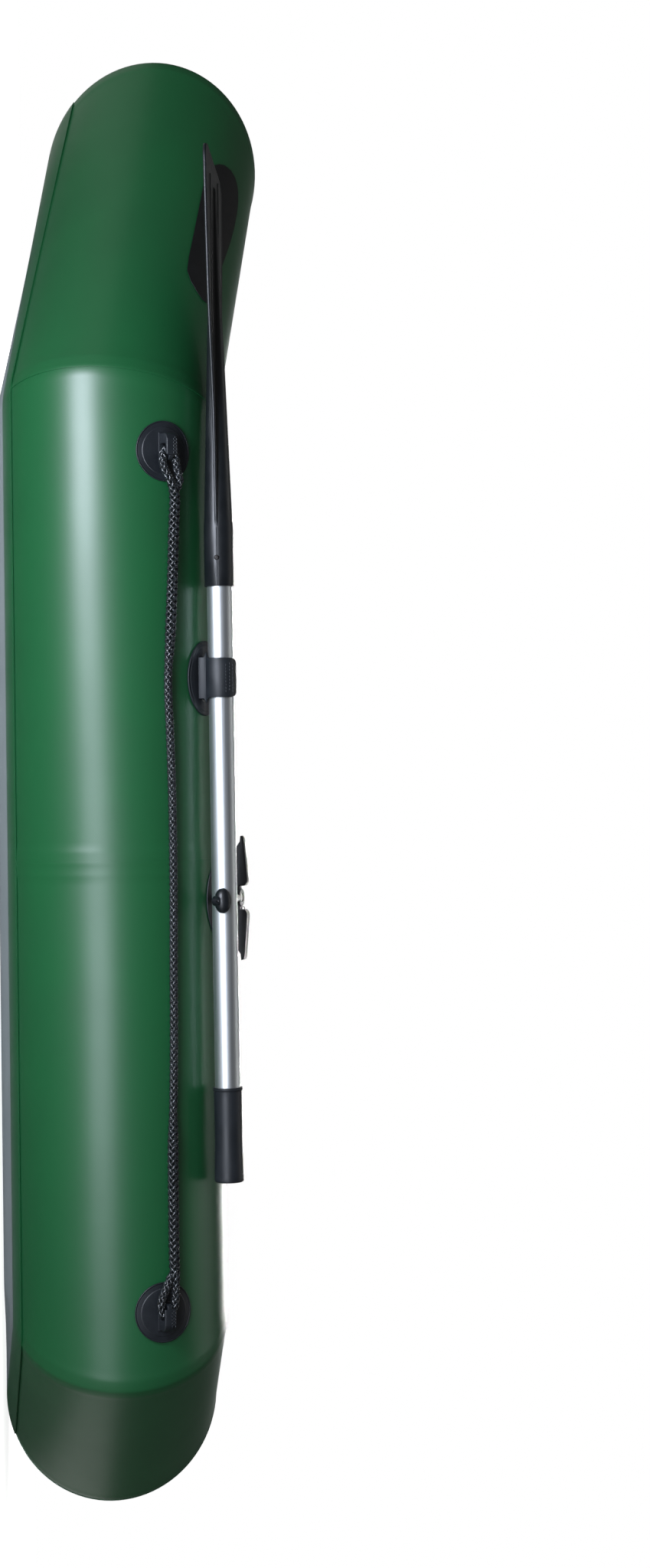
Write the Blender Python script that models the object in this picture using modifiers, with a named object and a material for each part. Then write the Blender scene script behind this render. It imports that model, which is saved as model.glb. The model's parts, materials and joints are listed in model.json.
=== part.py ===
"""Inflatable rowing boat with two oars, modelled piece by piece in metres.

+X is forward to the bow, +Y to port, +Z up. The origin is under the middle of the boat, on the
flat of the bottom sheet. Port pieces are modelled first and mirrored to starboard.
"""
import math

import bmesh
import bpy
from mathutils import Matrix, Vector

# Hull: nine mitred fabric sleeves round one rounded-off hexagon
tube_radius = 0.150
end_fullness = 0.005
side_offset = 0.385
side_lift = 0.0145
end_x = 0.9135
bow_half_width = 0.1143
bow_rise = 0.0747
bow_bend_x = 0.5204
stern_bend_x = -0.7556
stern_half_width = 0.1545
chamber_seam_x = -0.1131
tube_fabric = 0.0011
hull_facets = 36

# Clearance between pieces that touch, and the run of a cutter past what it cuts
gap = 0.0003
overrun = 0.004

# Bottom sheet
floor_fabric = 0.0015
floor_standoff = 0.0009
floor_glue_angles = [math.radians(a) for a in (-67, -67, -67, -67, -56, -49)]
floor_leave_angles = [math.radians(a) for a in (-89, -89, -84, -84, -87, -87)]
floor_run = 0.080
floor_ramp_drop = 0.0157
floor_inward_shares = [(1.0, 0.0), (1.0, -0.5), (0.5, -1.0), (-0.3, -1.0), (-1.0, -0.5), (-1.0, 0.0)]
floor_columns = 6

# Bulkhead between the two air chambers
bulkhead_skirt = 0.020
bulkhead_crown = 0.060
bulkhead_dome_shares = [(1.0, 0.0), (0.86, 0.45), (0.55, 0.85), (0.0, 1.0)]
bulkhead_steps = 16

# Oar shaft, and where it lies on the port tube
shaft_radius = 0.0175
shaft_wall = 0.0015
shaft_butt = 0.384
shaft_tip = 0.500
shaft_standoff = 0.0120
oar_angle = math.radians(55.1)
oar_slope = math.radians(0.31)
oar_roll = math.radians(12.5)

# Oar grip
grip_start = 0.259
grip_end_wall = 0.006
grip_collar_radius = 0.0209
grip_collar = 0.004
grip_waist_radius = 0.0192
grip_end_radius = 0.0203
grip_end_round = 0.003

# Oar blade, measured along the shaft from the oarlock pin
socket_start = 0.434
socket_radius = 0.0204
socket_wall_end = 0.515
blade_root = 0.500
blade_tip = 1.041
blade_tip_set_back = 0.040
blade_half_width = 0.072
blade_thickness = 0.0034
blade_spine_end = 0.985
blade_spine_end_radius = 0.0045
blade_rib_radius = 0.0030
blade_rib_offset = 0.034
blade_rib_start = 0.780
blade_rib_end = 1.000
blade_outline_shares = [(0.0, 0.20), (0.043, 0.30), (0.20, 0.34), (0.345, 0.385), (0.43, 0.50),
                        (0.50, 0.625), (0.62, 0.78), (0.76, 0.89), (0.90, 0.965)]
blade_corner_shares = [(1.0, 1.0), (0.35, 0.95), (0.07, 0.82), (0.0, 0.62)]
blade_corner_round = 0.030

# Blade clamp screw
screw_place = 0.473
screw_head_radius = 0.0035
screw_head = 0.0016
screw_shank_radius = 0.0018
screw_shank = 0.0030

# Oarlock on the crown of the tube
lock_x = -0.167
lock_angle = math.radians(82.5)
lock_tilt = math.radians(20)
pad_lift = 0.0005
pad_ring = 0.0145
pad_steps = 24
lock_pad_radius = 0.0725
lock_pad_rim = 0.0015
lock_pad_middle = 0.0045
lock_pad_flat_radius = 0.040
barrel_height = 0.0115
barrel_radius = 0.0060
barrel_half_length = 0.0150
trunnion_radius = 0.0030
trunnion_length = 0.0060
trunnion_clear = 0.0003
cheek_thickness = 0.0060
cheek_radius = 0.0055
cheek_foot = 0.0090
cheek_foot_height = 0.0020
stud_radius = 0.0035
stud_top = 0.0178
stud_head_radius = 0.0060
stud_head = 0.0020
yoke_hub_radius = 0.0130
yoke_hub_bottom = 0.0065
yoke_hub_top = 0.0180
yoke_sink_radius = 0.0063
yoke_sink = 0.0025
yoke_arm_start = 0.0080
yoke_arm_height = 0.0125
yoke_arm_radius = 0.0060
yoke_arm_end_radius = 0.0070
yoke_arm_stop = 0.0185
yoke_wing_thickness = 0.0140
yoke_wing_length = 0.0880
yoke_wing_height = 0.0270
yoke_wing_edge = 0.0020
yoke_wing_shares = [(1.0, 0.655), (0.985, 0.79), (0.93, 0.83), (0.30, 1.0), (0.235, 0.985), (0.19, 0.86),
                    (0.19, 0.60), (0.10, 0.60), (0.10, 0.30), (0.50, 0.30), (0.83, 0.46), (0.90, 0.62)]
pin_radius = 0.0045
pin_end = 0.0220

# Knob that keeps the oar on its pin
knob_half_length = 0.0176
knob_half_height = 0.0116
knob_depth = 0.0105
knob_face = 0.0178
knob_bore_end = 0.0225
knob_tab_radius = 0.0070
knob_tab_rise = 0.0075
knob_tab_reach = 0.0142
knob_tab_tilt = math.radians(28)

# Stowing clip on the side tube
clip_x = 0.1408
clip_half_length = 0.0520
clip_half_width = 0.0377
clip_pad = 0.0030
clip_boss_half_length = 0.0300
clip_boss_from = math.radians(53.0)
clip_boss_to = math.radians(60.8)
clip_boss_root = 0.0015
clip_boss_clear = 0.0008
clip_hook_half_width = 0.0290
clip_hook_thickness = 0.0036
clip_hook_clear = 0.0006
clip_hook_start = math.radians(-100)
clip_hook_outer_start = math.radians(-75)
clip_hook_end = math.radians(84)
clip_hook_steps = 12
clip_foot_height = 0.0040
clip_foot_from = math.radians(48.0)
clip_foot_to = math.radians(52.0)

# Lifeline eyes and lifeline
eye_bow_x = 0.4507
eye_stern_x = -0.7275
eye_bow_angle = math.radians(27.2)
eye_stern_angle = math.radians(21.5)
eye_pad_radius = 0.0415
eye_pad = 0.0028
eye_rim = 0.0012
eye_boss_length = 0.0370
eye_boss_half_width = 0.0085
eye_boss_height = 0.0240
eye_boss_root = 0.0019
eye_post_half_width = 0.0030
eye_post_reach = 0.0135
eye_bridge = 0.0046
eye_tunnel_start = 0.0070
eye_tunnel_end = 0.0090
eye_corner_share = 0.35
eye_edge = 0.0015

# Lifelines: hollow braid, its ends looped through the eyes and spliced back into itself
rope_radius = 0.0056
splice_radius = 0.0075
rope_step = 0.0340
# The lifeline's route on the port tube: place along the boat, degrees up, height of its middle
# over the fabric, and its thickness from 0, plain, to 1, spliced
rope_route = [
    (0.4537, 25.02, 0.0128, 0), (0.4477, 24.31, 0.0128, 0), (0.4417, 23.78, 0.0142, 0),
    (0.4357, 23.66, 0.0150, 0), (0.4297, 24.07, 0.0147, 0), (0.4227, 25.24, 0.0141, 0),
    (0.4147, 27.06, 0.0133, 0), (0.4067, 28.89, 0.0123, 0.3), (0.3977, 30.47, 0.0110, 0.8),
    (0.3877, 31.34, 0.0092, 1), (0.3763, 31.50, 0.0080, 1), (0.3342, 30.60, 0.0080, 1),
    (0.2923, 30.00, 0.0080, 1), (0.2503, 29.20, 0.0080, 1), (0.2084, 28.30, 0.0080, 1),
    (0.1800, 27.70, 0.0075, 0.5), (0.1560, 27.20, 0.0061, 0), (0.1247, 26.90, 0.0061, 0),
    (0.0828, 27.40, 0.0061, 0), (0.0409, 27.90, 0.0061, 0), (-0.0220, 28.50, 0.0061, 0),
    (-0.0849, 28.70, 0.0061, 0), (-0.1687, 28.60, 0.0061, 0), (-0.2525, 28.20, 0.0061, 0),
    (-0.3363, 28.00, 0.0061, 0), (-0.4200, 27.40, 0.0061, 0), (-0.4560, 27.00, 0.0061, 0),
    (-0.4790, 26.60, 0.0073, 0.6), (-0.5033, 26.30, 0.0080, 1), (-0.5450, 26.20, 0.0080, 1),
    (-0.5870, 26.20, 0.0080, 1), (-0.6289, 26.20, 0.0080, 1), (-0.6635, 26.15, 0.0090, 1),
    (-0.6735, 26.06, 0.0108, 0.8), (-0.6825, 25.95, 0.0122, 0.4), (-0.6905, 25.85, 0.0132, 0),
    (-0.6985, 25.69, 0.0140, 0), (-0.7055, 25.50, 0.0147, 0), (-0.7125, 25.22, 0.0150, 0),
    (-0.7185, 24.85, 0.0142, 0), (-0.7245, 24.32, 0.0128, 0), (-0.7305, 23.58, 0.0128, 0),
]
# The other leg of each loop, from under its eye's bridge to the throat of the splice
rope_leg_routes = {
    "bow": [
        (0.4537, 29.38, 0.0128, 0), (0.4477, 30.09, 0.0128, 0), (0.4417, 30.62, 0.0142, 0),
        (0.4357, 30.92, 0.0150, 0), (0.4287, 31.30, 0.0147, 0), (0.4207, 32.16, 0.0139, 0),
        (0.4127, 33.38, 0.0131, 0),
    ],
    "stern": [
        (-0.7305, 19.32, 0.0128, 0), (-0.7245, 18.61, 0.0128, 0), (-0.7185, 18.08, 0.0142, 0),
        (-0.7125, 17.96, 0.0150, 0), (-0.7065, 18.37, 0.0147, 0), (-0.6995, 19.54, 0.0141, 0),
        (-0.6935, 20.73, 0.0135, 0), (-0.6895, 21.39, 0.0131, 0),
    ],
}

# Seats and the rails that they slide on
rail_angle = math.radians(128)
rail_front_x = 0.450
rail_rear_x = -0.650
rail_strip_half = 0.015
rail_strip = 0.0015
rail_strip_steps = 4
rail_neck_half = 0.0010
rail_neck = 0.0040
rail_bead_radius = 0.0040
rail_bead_steps = 10
track_clear = 0.0004
track_wall = 0.0018
track_slot_half = 0.0021
track_steps = 10
track_flange = 0.044
track_flange_thickness = 0.0020
seat_width = 0.200
seat_overhang = 0.0035
seat_thickness = 0.0120
seat_corner = 0.030
seat_edge = 0.0020
seat_front_x = 0.150
seat_rear_x = -0.560

# Air valves on the starboard tube, one for each chamber
valve_places_x = (0.330, -0.470)
valve_names = ("front", "rear")
valve_angle = math.radians(158)
valve_flange_radius = 0.029
valve_flange = 0.0030
valve_neck_radius = 0.0170
valve_neck_depth = 0.0240
valve_bore_radius = 0.0120
valve_collar_radius = 0.0205
valve_collar_top = 0.0094
valve_web_top = -0.0095
valve_web_bottom = -0.0120
valve_web_hole = 0.0033
valve_stem_radius = 0.0030
valve_stem_top = 0.0020
valve_seal_radius = 0.0100
valve_seal_top = -0.0123
valve_seal_bottom = -0.0146
valve_cap_radius = 0.0235
valve_cap_bore = 0.0209
valve_cap_bottom = 0.0038
valve_cap_inside = 0.0098
valve_cap_top = 0.0128
valve_steps = 16

# Colours
GREEN = (0.022, 0.115, 0.045)
GREY = (0.42, 0.44, 0.43)
BLACK = (0.012, 0.014, 0.018)
ALUMINIUM = (0.62, 0.65, 0.66)
STEEL = (0.45, 0.46, 0.47)
PLYWOOD = (0.55, 0.36, 0.19)

side_z = side_lift + tube_radius
end_radius = tube_radius + end_fullness
stern_z = floor_fabric + floor_standoff + end_radius
bow_z = side_z + bow_rise
facet_half = math.pi / hull_facets
HULL_ANGLES = [2 * facet_half * i for i in range(hull_facets)]
HULL_AXIS = [
    Vector((-end_x, 0, stern_z)),
    Vector((-end_x, stern_half_width, stern_z)),
    Vector((stern_bend_x, side_offset, side_z)),
    Vector((bow_bend_x, side_offset, side_z)),
    Vector((end_x, bow_half_width, bow_z)),
    Vector((end_x, 0, bow_z)),
]


def clear_scene():
    """Remove every object of the open file."""
    for obj in list(bpy.data.objects):
        bpy.data.objects.remove(obj)


def add_collection(name):
    """A collection linked to the scene."""
    collection = bpy.data.collections.new(name)
    bpy.context.scene.collection.children.link(collection)
    return collection


def add_material(name, color, roughness, metallic=0.0):
    """A Principled material with one colour."""
    material = bpy.data.materials.new(name)
    material.use_nodes = True
    shader = material.node_tree.nodes["Principled BSDF"]
    shader.inputs["Base Color"].default_value = (*color, 1.0)
    shader.inputs["Roughness"].default_value = roughness
    shader.inputs["Metallic"].default_value = metallic
    return material


def add_object(name, data, collection, look=None):
    """Link an object and give it its own material."""
    obj = bpy.data.objects.new(name, data)
    collection.objects.link(obj)
    if look is not None:
        data.materials.clear()
        data.materials.append(add_material(name, *look))
    return obj


def mesh_from(name, points, faces):
    """A mesh from computed points and faces."""
    mesh = bpy.data.meshes.new(name)
    mesh.from_pydata([tuple(p) for p in points], [], faces)
    mesh.update()
    return mesh


def evaluated(obj):
    """The object's mesh with its modifiers applied, in world space."""
    bpy.context.view_layer.update()
    shown = obj.evaluated_get(bpy.context.evaluated_depsgraph_get())
    mesh = bpy.data.meshes.new_from_object(shown)
    mesh.transform(obj.matrix_world)
    shape = bmesh.new()
    shape.from_mesh(mesh)
    bmesh.ops.recalc_face_normals(shape, faces=shape.faces)
    shape.to_mesh(mesh)
    shape.free()
    return mesh


def replace_with_mesh(obj, mesh):
    """Put a finished mesh in place of an object's own data and modifiers."""
    obj.modifiers.clear()
    obj.matrix_world = Matrix()
    if obj.type == "MESH":
        mesh.materials.clear()
        for material in obj.data.materials:
            mesh.materials.append(material)
        obj.data = mesh
        return obj
    name = obj.name
    collection = obj.users_collection[0]
    bpy.data.objects.remove(obj)
    new = bpy.data.objects.new(name, mesh)
    collection.objects.link(new)
    return new


def bake(obj):
    """Apply the object's modifiers and place."""
    return replace_with_mesh(obj, evaluated(obj))


def smooth(obj, degrees=35):
    """Shade round pieces smooth and keep their edges sharp."""
    obj.data.shade_smooth()
    obj.data.set_sharp_from_angle(angle=math.radians(degrees))
    return obj


def set_origin(obj, point):
    """Move the object's origin to a point and leave its shape in place."""
    shift = obj.matrix_world.inverted() @ Vector(point)
    obj.data.transform(Matrix.Translation(-shift))
    obj.matrix_world = obj.matrix_world @ Matrix.Translation(shift)
    return obj


def solidify(obj, thickness, offset=-1.0):
    """Give an open surface its wall."""
    wall = obj.modifiers.new("wall", "SOLIDIFY")
    wall.thickness = thickness
    wall.offset = offset
    wall.use_even_offset = True
    return wall


def bevel(obj, width, segments=2, degrees=30):
    """Round the edges of a moulded or sawn piece."""
    rounding = obj.modifiers.new("edges", "BEVEL")
    rounding.width = width
    rounding.segments = segments
    rounding.limit_method = "ANGLE"
    rounding.angle_limit = math.radians(degrees)
    return rounding


def boolean(obj, other, operation):
    """Cut or join with another object, with the exact solver."""
    step = obj.modifiers.new(operation.lower(), "BOOLEAN")
    step.operation = operation
    step.object = other
    step.solver = "EXACT"
    other.hide_render = True
    other.display_type = "WIRE"
    return step


def turned(name, profile, steps, place, collection, look=None):
    """A turned solid: profile of (radius, height) from the axis round to the axis, about local Z."""
    count = len(profile)
    closed = profile[0][0] > 0
    edges = [(i, i + 1) for i in range(count - 1)]
    if closed:
        edges.append((count - 1, 0))
    mesh = bpy.data.meshes.new(name)
    mesh.from_pydata([(radius, 0, height) for radius, height in profile], edges, [])
    obj = add_object(name, mesh, collection, look)
    obj.matrix_world = place
    screw = obj.modifiers.new("turn", "SCREW")
    screw.steps = steps
    screw.render_steps = steps
    screw.use_merge_vertices = True
    screw.merge_threshold = 0.00001
    screw.use_smooth_shade = False
    screw.use_normal_calculate = True
    return obj


def cylinder(name, radius, length, place, collection, segments=16, look=None, end_radius=None):
    """A round bar along local Z from its origin, tapered where an end radius is given."""
    shape = bmesh.new()
    top = radius if end_radius is None else end_radius
    bmesh.ops.create_cone(shape, cap_ends=True, segments=segments, radius1=radius, radius2=top,
                          depth=length, matrix=Matrix.Translation((0, 0, length / 2)))
    mesh = bpy.data.meshes.new(name)
    shape.to_mesh(mesh)
    shape.free()
    obj = add_object(name, mesh, collection, look)
    obj.matrix_world = place
    return obj


def ball(name, radii, place, collection, segments=16, rings=8, look=None):
    """An ellipsoid with the given half sizes."""
    shape = bmesh.new()
    bmesh.ops.create_uvsphere(shape, u_segments=segments, v_segments=rings, radius=1.0)
    bmesh.ops.scale(shape, vec=radii, verts=shape.verts)
    mesh = bpy.data.meshes.new(name)
    shape.to_mesh(mesh)
    shape.free()
    obj = add_object(name, mesh, collection, look)
    obj.matrix_world = place
    return obj


def plate(name, outline, thickness, place, collection, look=None):
    """A flat outline in local XY, extruded both ways by half its thickness."""
    shape = bmesh.new()
    corners = [shape.verts.new((x, y, -thickness / 2)) for x, y in outline]
    face = shape.faces.new(corners)
    raised = bmesh.ops.extrude_face_region(shape, geom=[face])
    moved = [v for v in raised["geom"] if isinstance(v, bmesh.types.BMVert)]
    bmesh.ops.translate(shape, verts=moved, vec=(0, 0, thickness))
    bmesh.ops.recalc_face_normals(shape, faces=shape.faces)
    mesh = bpy.data.meshes.new(name)
    shape.to_mesh(mesh)
    shape.free()
    obj = add_object(name, mesh, collection, look)
    obj.matrix_world = place
    return obj


def axes_matrix(origin, x_axis, y_axis, z_axis):
    """A placement from an origin and three axes."""
    matrix = Matrix((x_axis, y_axis, z_axis)).transposed().to_4x4()
    matrix.translation = Vector(origin)
    return matrix


def starboard_copy(obj, name, collection):
    """The mirror image of a finished port piece, with its own material."""
    mesh = evaluated(obj)
    mesh.transform(Matrix.Diagonal((1, -1, 1, 1)))
    mesh.flip_normals()
    material = obj.data.materials[0].copy()
    material.name = name
    mesh.materials.clear()
    mesh.materials.append(material)
    copy = add_object(name, mesh, collection)
    place = obj.matrix_world.translation
    set_origin(copy, (place.x, -place.y, place.z))
    return copy


def both_sides(obj, collection):
    """Add the starboard twin of a piece whose name ends in port."""
    starboard_copy(obj, obj.name.replace("port", "starboard"), collection)


def on_tube(x, angle, height):
    """A point over the port side tube: its angle up from the outboard side, its height over the fabric."""
    reach = tube_radius + height
    return Vector((x, side_offset + reach * math.cos(angle), side_z + reach * math.sin(angle)))


def tube_frame(x, angle, height=0.0):
    """Axes on the tube: local X forward, local Y up round the tube, local Z out of it."""
    out = Vector((0, math.cos(angle), math.sin(angle)))
    return axes_matrix(on_tube(x, angle, height), Vector((1, 0, 0)), out.cross(Vector((1, 0, 0))), out)


def wrap_on_tube(mesh, x, angle):
    """Bend a flat pad on to the tube: its local Y runs round the tube and its local Z out of it."""
    for vertex in mesh.vertices:
        turn = angle + vertex.co.y / tube_radius
        vertex.co = on_tube(x + vertex.co.x, turn, vertex.co.z)
    mesh.update()


def slide(point, direction, plane_point, normal):
    """Move a point along a direction until it meets a plane."""
    distance = (plane_point - point).dot(normal) / direction.dot(normal)
    return point + direction * distance


def hull_rings(offset, angles):
    """Rings of points round the tubes at each corner of the axis, stern centre to bow centre.

    Every generator line runs straight along a tube and turns at the mitre plane.
    """
    steps = [(b - a).normalized() for a, b in zip(HULL_AXIS, HULL_AXIS[1:])]
    reach = tube_radius + offset
    start = [Vector((0, side_offset + reach * math.cos(a), side_z + reach * math.sin(a))) for a in angles]
    rings = [None] * len(HULL_AXIS)
    across = Vector((0, 1, 0))
    ring = start
    for corner in (3, 4, 5):
        normal = across if corner == 5 else steps[corner] + steps[corner - 1]
        ring = [slide(p, steps[corner - 1], HULL_AXIS[corner], normal) for p in ring]
        rings[corner] = ring
    ring = start
    for corner in (2, 1, 0):
        normal = across if corner == 0 else steps[corner] + steps[corner - 1]
        ring = [slide(p, steps[corner], HULL_AXIS[corner], normal) for p in ring]
        rings[corner] = ring
    fuller = (end_radius + offset) / reach
    for corner in (0, 1, 4, 5):
        centre = HULL_AXIS[corner]
        rings[corner] = [centre + (p - centre) * fuller for p in rings[corner]]
    return rings


def mirrored(points):
    """Points on the other side of the boat."""
    return [Vector((p.x, -p.y, p.z)) for p in points]


def sleeve(name, outer, inner, collection):
    """One straight panel of a tube: an open fabric sleeve between two rings, outside and inside."""
    along = (outer[1][0] - outer[0][0]).normalized() * gap / 2
    rings = [[p + along for p in outer[0]], [p - along for p in outer[1]],
             [p - along for p in inner[1]], [p + along for p in inner[0]]]
    count = len(rings[0])
    faces = []
    for ring in range(4):
        start = ring * count
        after = (ring + 1) % 4 * count
        for i in range(count):
            j = (i + 1) % count
            faces.append((start + i, start + j, after + j, after + i))
    obj = add_object(name, mesh_from(name, [p for ring in rings for p in ring], faces), collection,
                     (GREEN, 0.42))
    return smooth(obj)


def make_hull(collection, cutters):
    """The air tubes: a bow and a stern panel, four quarters and four side sleeves."""
    surfaces = []
    for offset in (0.0, -tube_fabric):
        rings = hull_rings(offset, HULL_ANGLES)
        seam = [Vector((chamber_seam_x, p.y, p.z)) for p in rings[2]]
        surfaces.append([mirrored(rings[1]), rings[1], rings[2], seam, rings[3], rings[4],
                         mirrored(rings[4])])
    names = ["stern_panel", "stern_quarter_port", "side_tube_rear_port", "side_tube_front_port",
             "bow_quarter_port", "bow_panel"]
    outer, inner = surfaces
    for index, name in enumerate(names):
        panel = sleeve(name, outer[index:index + 2], inner[index:index + 2], collection)
        if name.endswith("port"):
            both_sides(panel, collection)
    for place_x, end in zip(valve_places_x, valve_names):
        hole = cylinder("valve_hole_" + end, valve_neck_radius + gap, valve_neck_depth,
                        valve_frame(place_x) @ Matrix.Translation((0, 0, -valve_neck_depth / 2)),
                        cutters, segments=20)
        boolean(bpy.data.objects["side_tube_" + end + "_starboard"], hole, "DIFFERENCE")


def make_bulkheads(collection):
    """Domed fabric walls that part the front air chamber from the rear one."""
    inner = (tube_radius - tube_fabric) * math.cos(facet_half) - gap
    crown = bulkhead_crown
    skirt = bulkhead_skirt
    wall = tube_fabric
    dome = [(inner * radius, skirt + crown * height) for radius, height in bulkhead_dome_shares]
    inside = [(max(radius - wall, 0.0), height - wall) for radius, height in dome]
    profile = [(inner, -skirt)] + dome
    back = inside[::-1] + [(inner - wall, -skirt)]
    place = axes_matrix((chamber_seam_x, side_offset, side_z), Vector((0, 1, 0)), Vector((0, 0, 1)),
                        Vector((1, 0, 0)))
    bulkhead = turned("bulkhead_port", profile[::-1] + back[::-1], bulkhead_steps, place, collection,
                      (GREEN, 0.6))
    both_sides(smooth(bake(bulkhead)), collection)


def make_floor(collection):
    """The bottom sheet: flat in the middle, glued up round the underside of every tube."""
    columns = []
    for column in range(floor_columns + 1):
        share = column / floor_columns
        angles = [glue + (leave - glue) * share
                  for glue, leave in zip(floor_glue_angles, floor_leave_angles)]
        rings = [hull_rings(floor_standoff, [angle])[corner][0] for corner, angle in enumerate(angles)]
        columns.append(rings)
    flat = []
    for corner, (ahead, inboard) in enumerate(floor_inward_shares):
        edge = columns[-1][corner]
        height = floor_fabric if corner < 4 else edge.z - floor_ramp_drop
        flat.append(Vector((edge.x + floor_run * ahead, edge.y + floor_run * inboard, height)))
    flat[0].y = 0
    flat[5].y = 0
    columns.append(flat)
    points = [p for column in columns for p in column]
    corners = len(HULL_AXIS)
    faces = []
    for column in range(len(columns) - 1):
        for corner in range(corners - 1):
            a = column * corners + corner
            faces.append((a, a + 1, a + 1 + corners, a + corners))
    middle = len(points)
    points.append(Vector((flat[3].x, 0, floor_fabric)))
    base = (len(columns) - 1) * corners
    faces.append((base, base + 1, base + 2, base + 3, middle))
    faces.append((middle, base + 3, base + 4, base + 5))
    obj = add_object("floor_sheet", mesh_from("floor_sheet", points, faces), collection, (GREY, 0.6))
    mirror = obj.modifiers.new("mirror", "MIRROR")
    mirror.use_axis = (False, True, False)
    mirror.merge_threshold = 0.0001
    solidify(obj, floor_fabric, 1.0)
    return obj


def lay_along_x():
    """Turn local Z to X, so that a turned piece lies along its frame's X axis."""
    return Matrix(((0, 0, 1, 0), (1, 0, 0, 0), (0, 1, 0, 0), (0, 0, 0, 1)))


def lay_along_y():
    """Turn local Z to Y."""
    return Matrix(((0, 1, 0, 0), (0, 0, 1, 0), (1, 0, 0, 0), (0, 0, 0, 1)))


def section_bar(name, section, start, end, collection, look=None):
    """A bar along X from a closed outline of (y, z) points."""
    place = axes_matrix((0, 0, 0), Vector((0, 1, 0)), Vector((0, 0, 1)), Vector((1, 0, 0)))
    middle = Matrix.Translation(((start + end) / 2, 0, 0))
    return plate(name, section, end - start, middle @ place, collection, look)


def joined(obj, others, cutters, operation="UNION"):
    """Join or cut with helper pieces that stay behind as hidden cutters."""
    for other in others:
        for owner in list(other.users_collection):
            owner.objects.unlink(other)
        cutters.objects.link(other)
        boolean(obj, other, operation)
    return obj


def wrapped_pad(name, radius, profile, x, angle, steps, collection, look=None, narrow=1.0):
    """A thin moulded pad that hugs the side tube: top profile of (radius, height) from the rim inward."""
    rings = max(1, round(radius / pad_ring))
    bottom = [(radius * ring / rings, pad_lift) for ring in range(rings + 1)]
    flat = turned(name, bottom + profile, steps, Matrix(), collection, look)
    pad = bake(flat)
    for vertex in pad.data.vertices:
        vertex.co.y *= narrow
    wrap_on_tube(pad.data, x, angle)
    return pad


def smooth_route(points, step):
    """Points on a smooth curve through a list of points, about one step apart."""
    path = [points[0]]
    ends = [points[0] * 2 - points[1]] + points + [points[-1] * 2 - points[-2]]
    for a, b, c, d in zip(ends, ends[1:], ends[2:], ends[3:]):
        pieces = max(1, round((c - b).length / step))
        for piece in range(1, pieces + 1):
            t = piece / pieces
            path.append(0.5 * (2 * b + (c - a) * t + (2 * a - 5 * b + 4 * c - d) * t * t
                               + (3 * b - a - 3 * c + d) * t * t * t))
    return path


def make_rope_holders(collection, cutters):
    """Rubber discs glued on the side of the tubes, each with a bridge that the lifeline passes under."""
    eyes = (("bow", eye_bow_x, eye_bow_angle, 1), ("stern", eye_stern_x, eye_stern_angle, -1))
    for end, x, angle, way in eyes:
        top = pad_lift + eye_pad
        profile = [(eye_pad_radius, pad_lift + eye_pad / 2), (eye_pad_radius - eye_rim, top),
                   (eye_pad_radius / 2, top), (0, top)]
        holder = wrapped_pad("rope_holder_" + end + "_port", eye_pad_radius, profile, x, angle, pad_steps,
                             collection, (BLACK, 0.45))
        place = tube_frame(x, angle)
        upright = place @ Matrix(((1, 0, 0, 0), (0, 0, -1, 0), (0, 1, 0, 0), (0, 0, 0, 1)))
        far = eye_boss_length - eye_post_reach
        rise = eye_boss_height - eye_boss_root
        corner = rise * eye_corner_share
        under = eye_boss_height - eye_bridge
        arch = [(far, eye_boss_root), (far, eye_boss_height - corner),
                (far - corner / 3, eye_boss_height - corner / 3), (far - corner, eye_boss_height),
                (-eye_tunnel_start, eye_boss_height), (-eye_tunnel_start, under),
                (eye_tunnel_end, under), (eye_tunnel_end, eye_boss_root)]
        post_start = eye_edge - eye_tunnel_start
        post = [(post_start, eye_boss_root), (post_start, eye_boss_height - eye_edge),
                (-eye_post_reach, eye_boss_height - corner), (-eye_post_reach, eye_boss_root)]
        pieces = []
        for outline, half in ((arch, eye_boss_half_width), (post, eye_post_half_width)):
            points = [(px * way, pz) for px, pz in outline]
            pieces.append(plate("eye_boss_" + end, points, 2 * half, upright, cutters))
        bevel(pieces[0], eye_edge, 1)
        joined(holder, pieces, cutters)
        both_sides(smooth(bake(holder)), collection)


def rope(name, route, turn, collection):
    """One length of rope along a route on the tube, mirrored for turn -1."""
    places = []
    for x, degrees, height, share in route:
        point = on_tube(x, math.radians(degrees), height)
        places.append(Vector((point.x, point.y * turn, point.z)).to_4d())
        places[-1].w = rope_radius + (splice_radius - rope_radius) * share
    path = smooth_route(places, rope_step)
    curve = bpy.data.curves.new(name, "CURVE")
    curve.dimensions = "3D"
    curve.bevel_depth = 1.0
    curve.bevel_resolution = 2
    curve.use_fill_caps = True
    spline = curve.splines.new("POLY")
    spline.points.add(len(path) - 1)
    for point, place in zip(spline.points, path):
        point.co = (place.x, place.y, place.z, 1)
        point.radius = place.w
    add_object(name, curve, collection, (BLACK, 0.8))


def make_lifelines(collection):
    """Braided lifelines, looped round the eyes of their side and spliced."""
    for side, turn in (("port", 1), ("starboard", -1)):
        rope("lifeline_" + side, rope_route, turn, collection)
        for end, route in rope_leg_routes.items():
            rope("lifeline_leg_" + end + "_" + side, route, turn, collection)


def oar_frame():
    """Axes of the port oar at its pin: X along the shaft to the blade, Y along the pin, Z up."""
    along = Vector((math.cos(oar_slope), 0, -math.sin(oar_slope)))
    out = Vector((0, math.cos(oar_roll), -math.sin(oar_roll)))
    up = along.cross(out).normalized()
    return axes_matrix(on_tube(lock_x, oar_angle, shaft_radius + shaft_standoff), along, up.cross(along), up)


def swing_frame():
    """Axes of the port oarlock: origin on the rocker's axis, Z up the stud that the yoke turns on."""
    up = Vector((0, math.sin(lock_tilt), math.cos(lock_tilt)))
    return axes_matrix(on_tube(lock_x, lock_angle, barrel_height), Vector((1, 0, 0)),
                       up.cross(Vector((1, 0, 0))), up)


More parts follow.
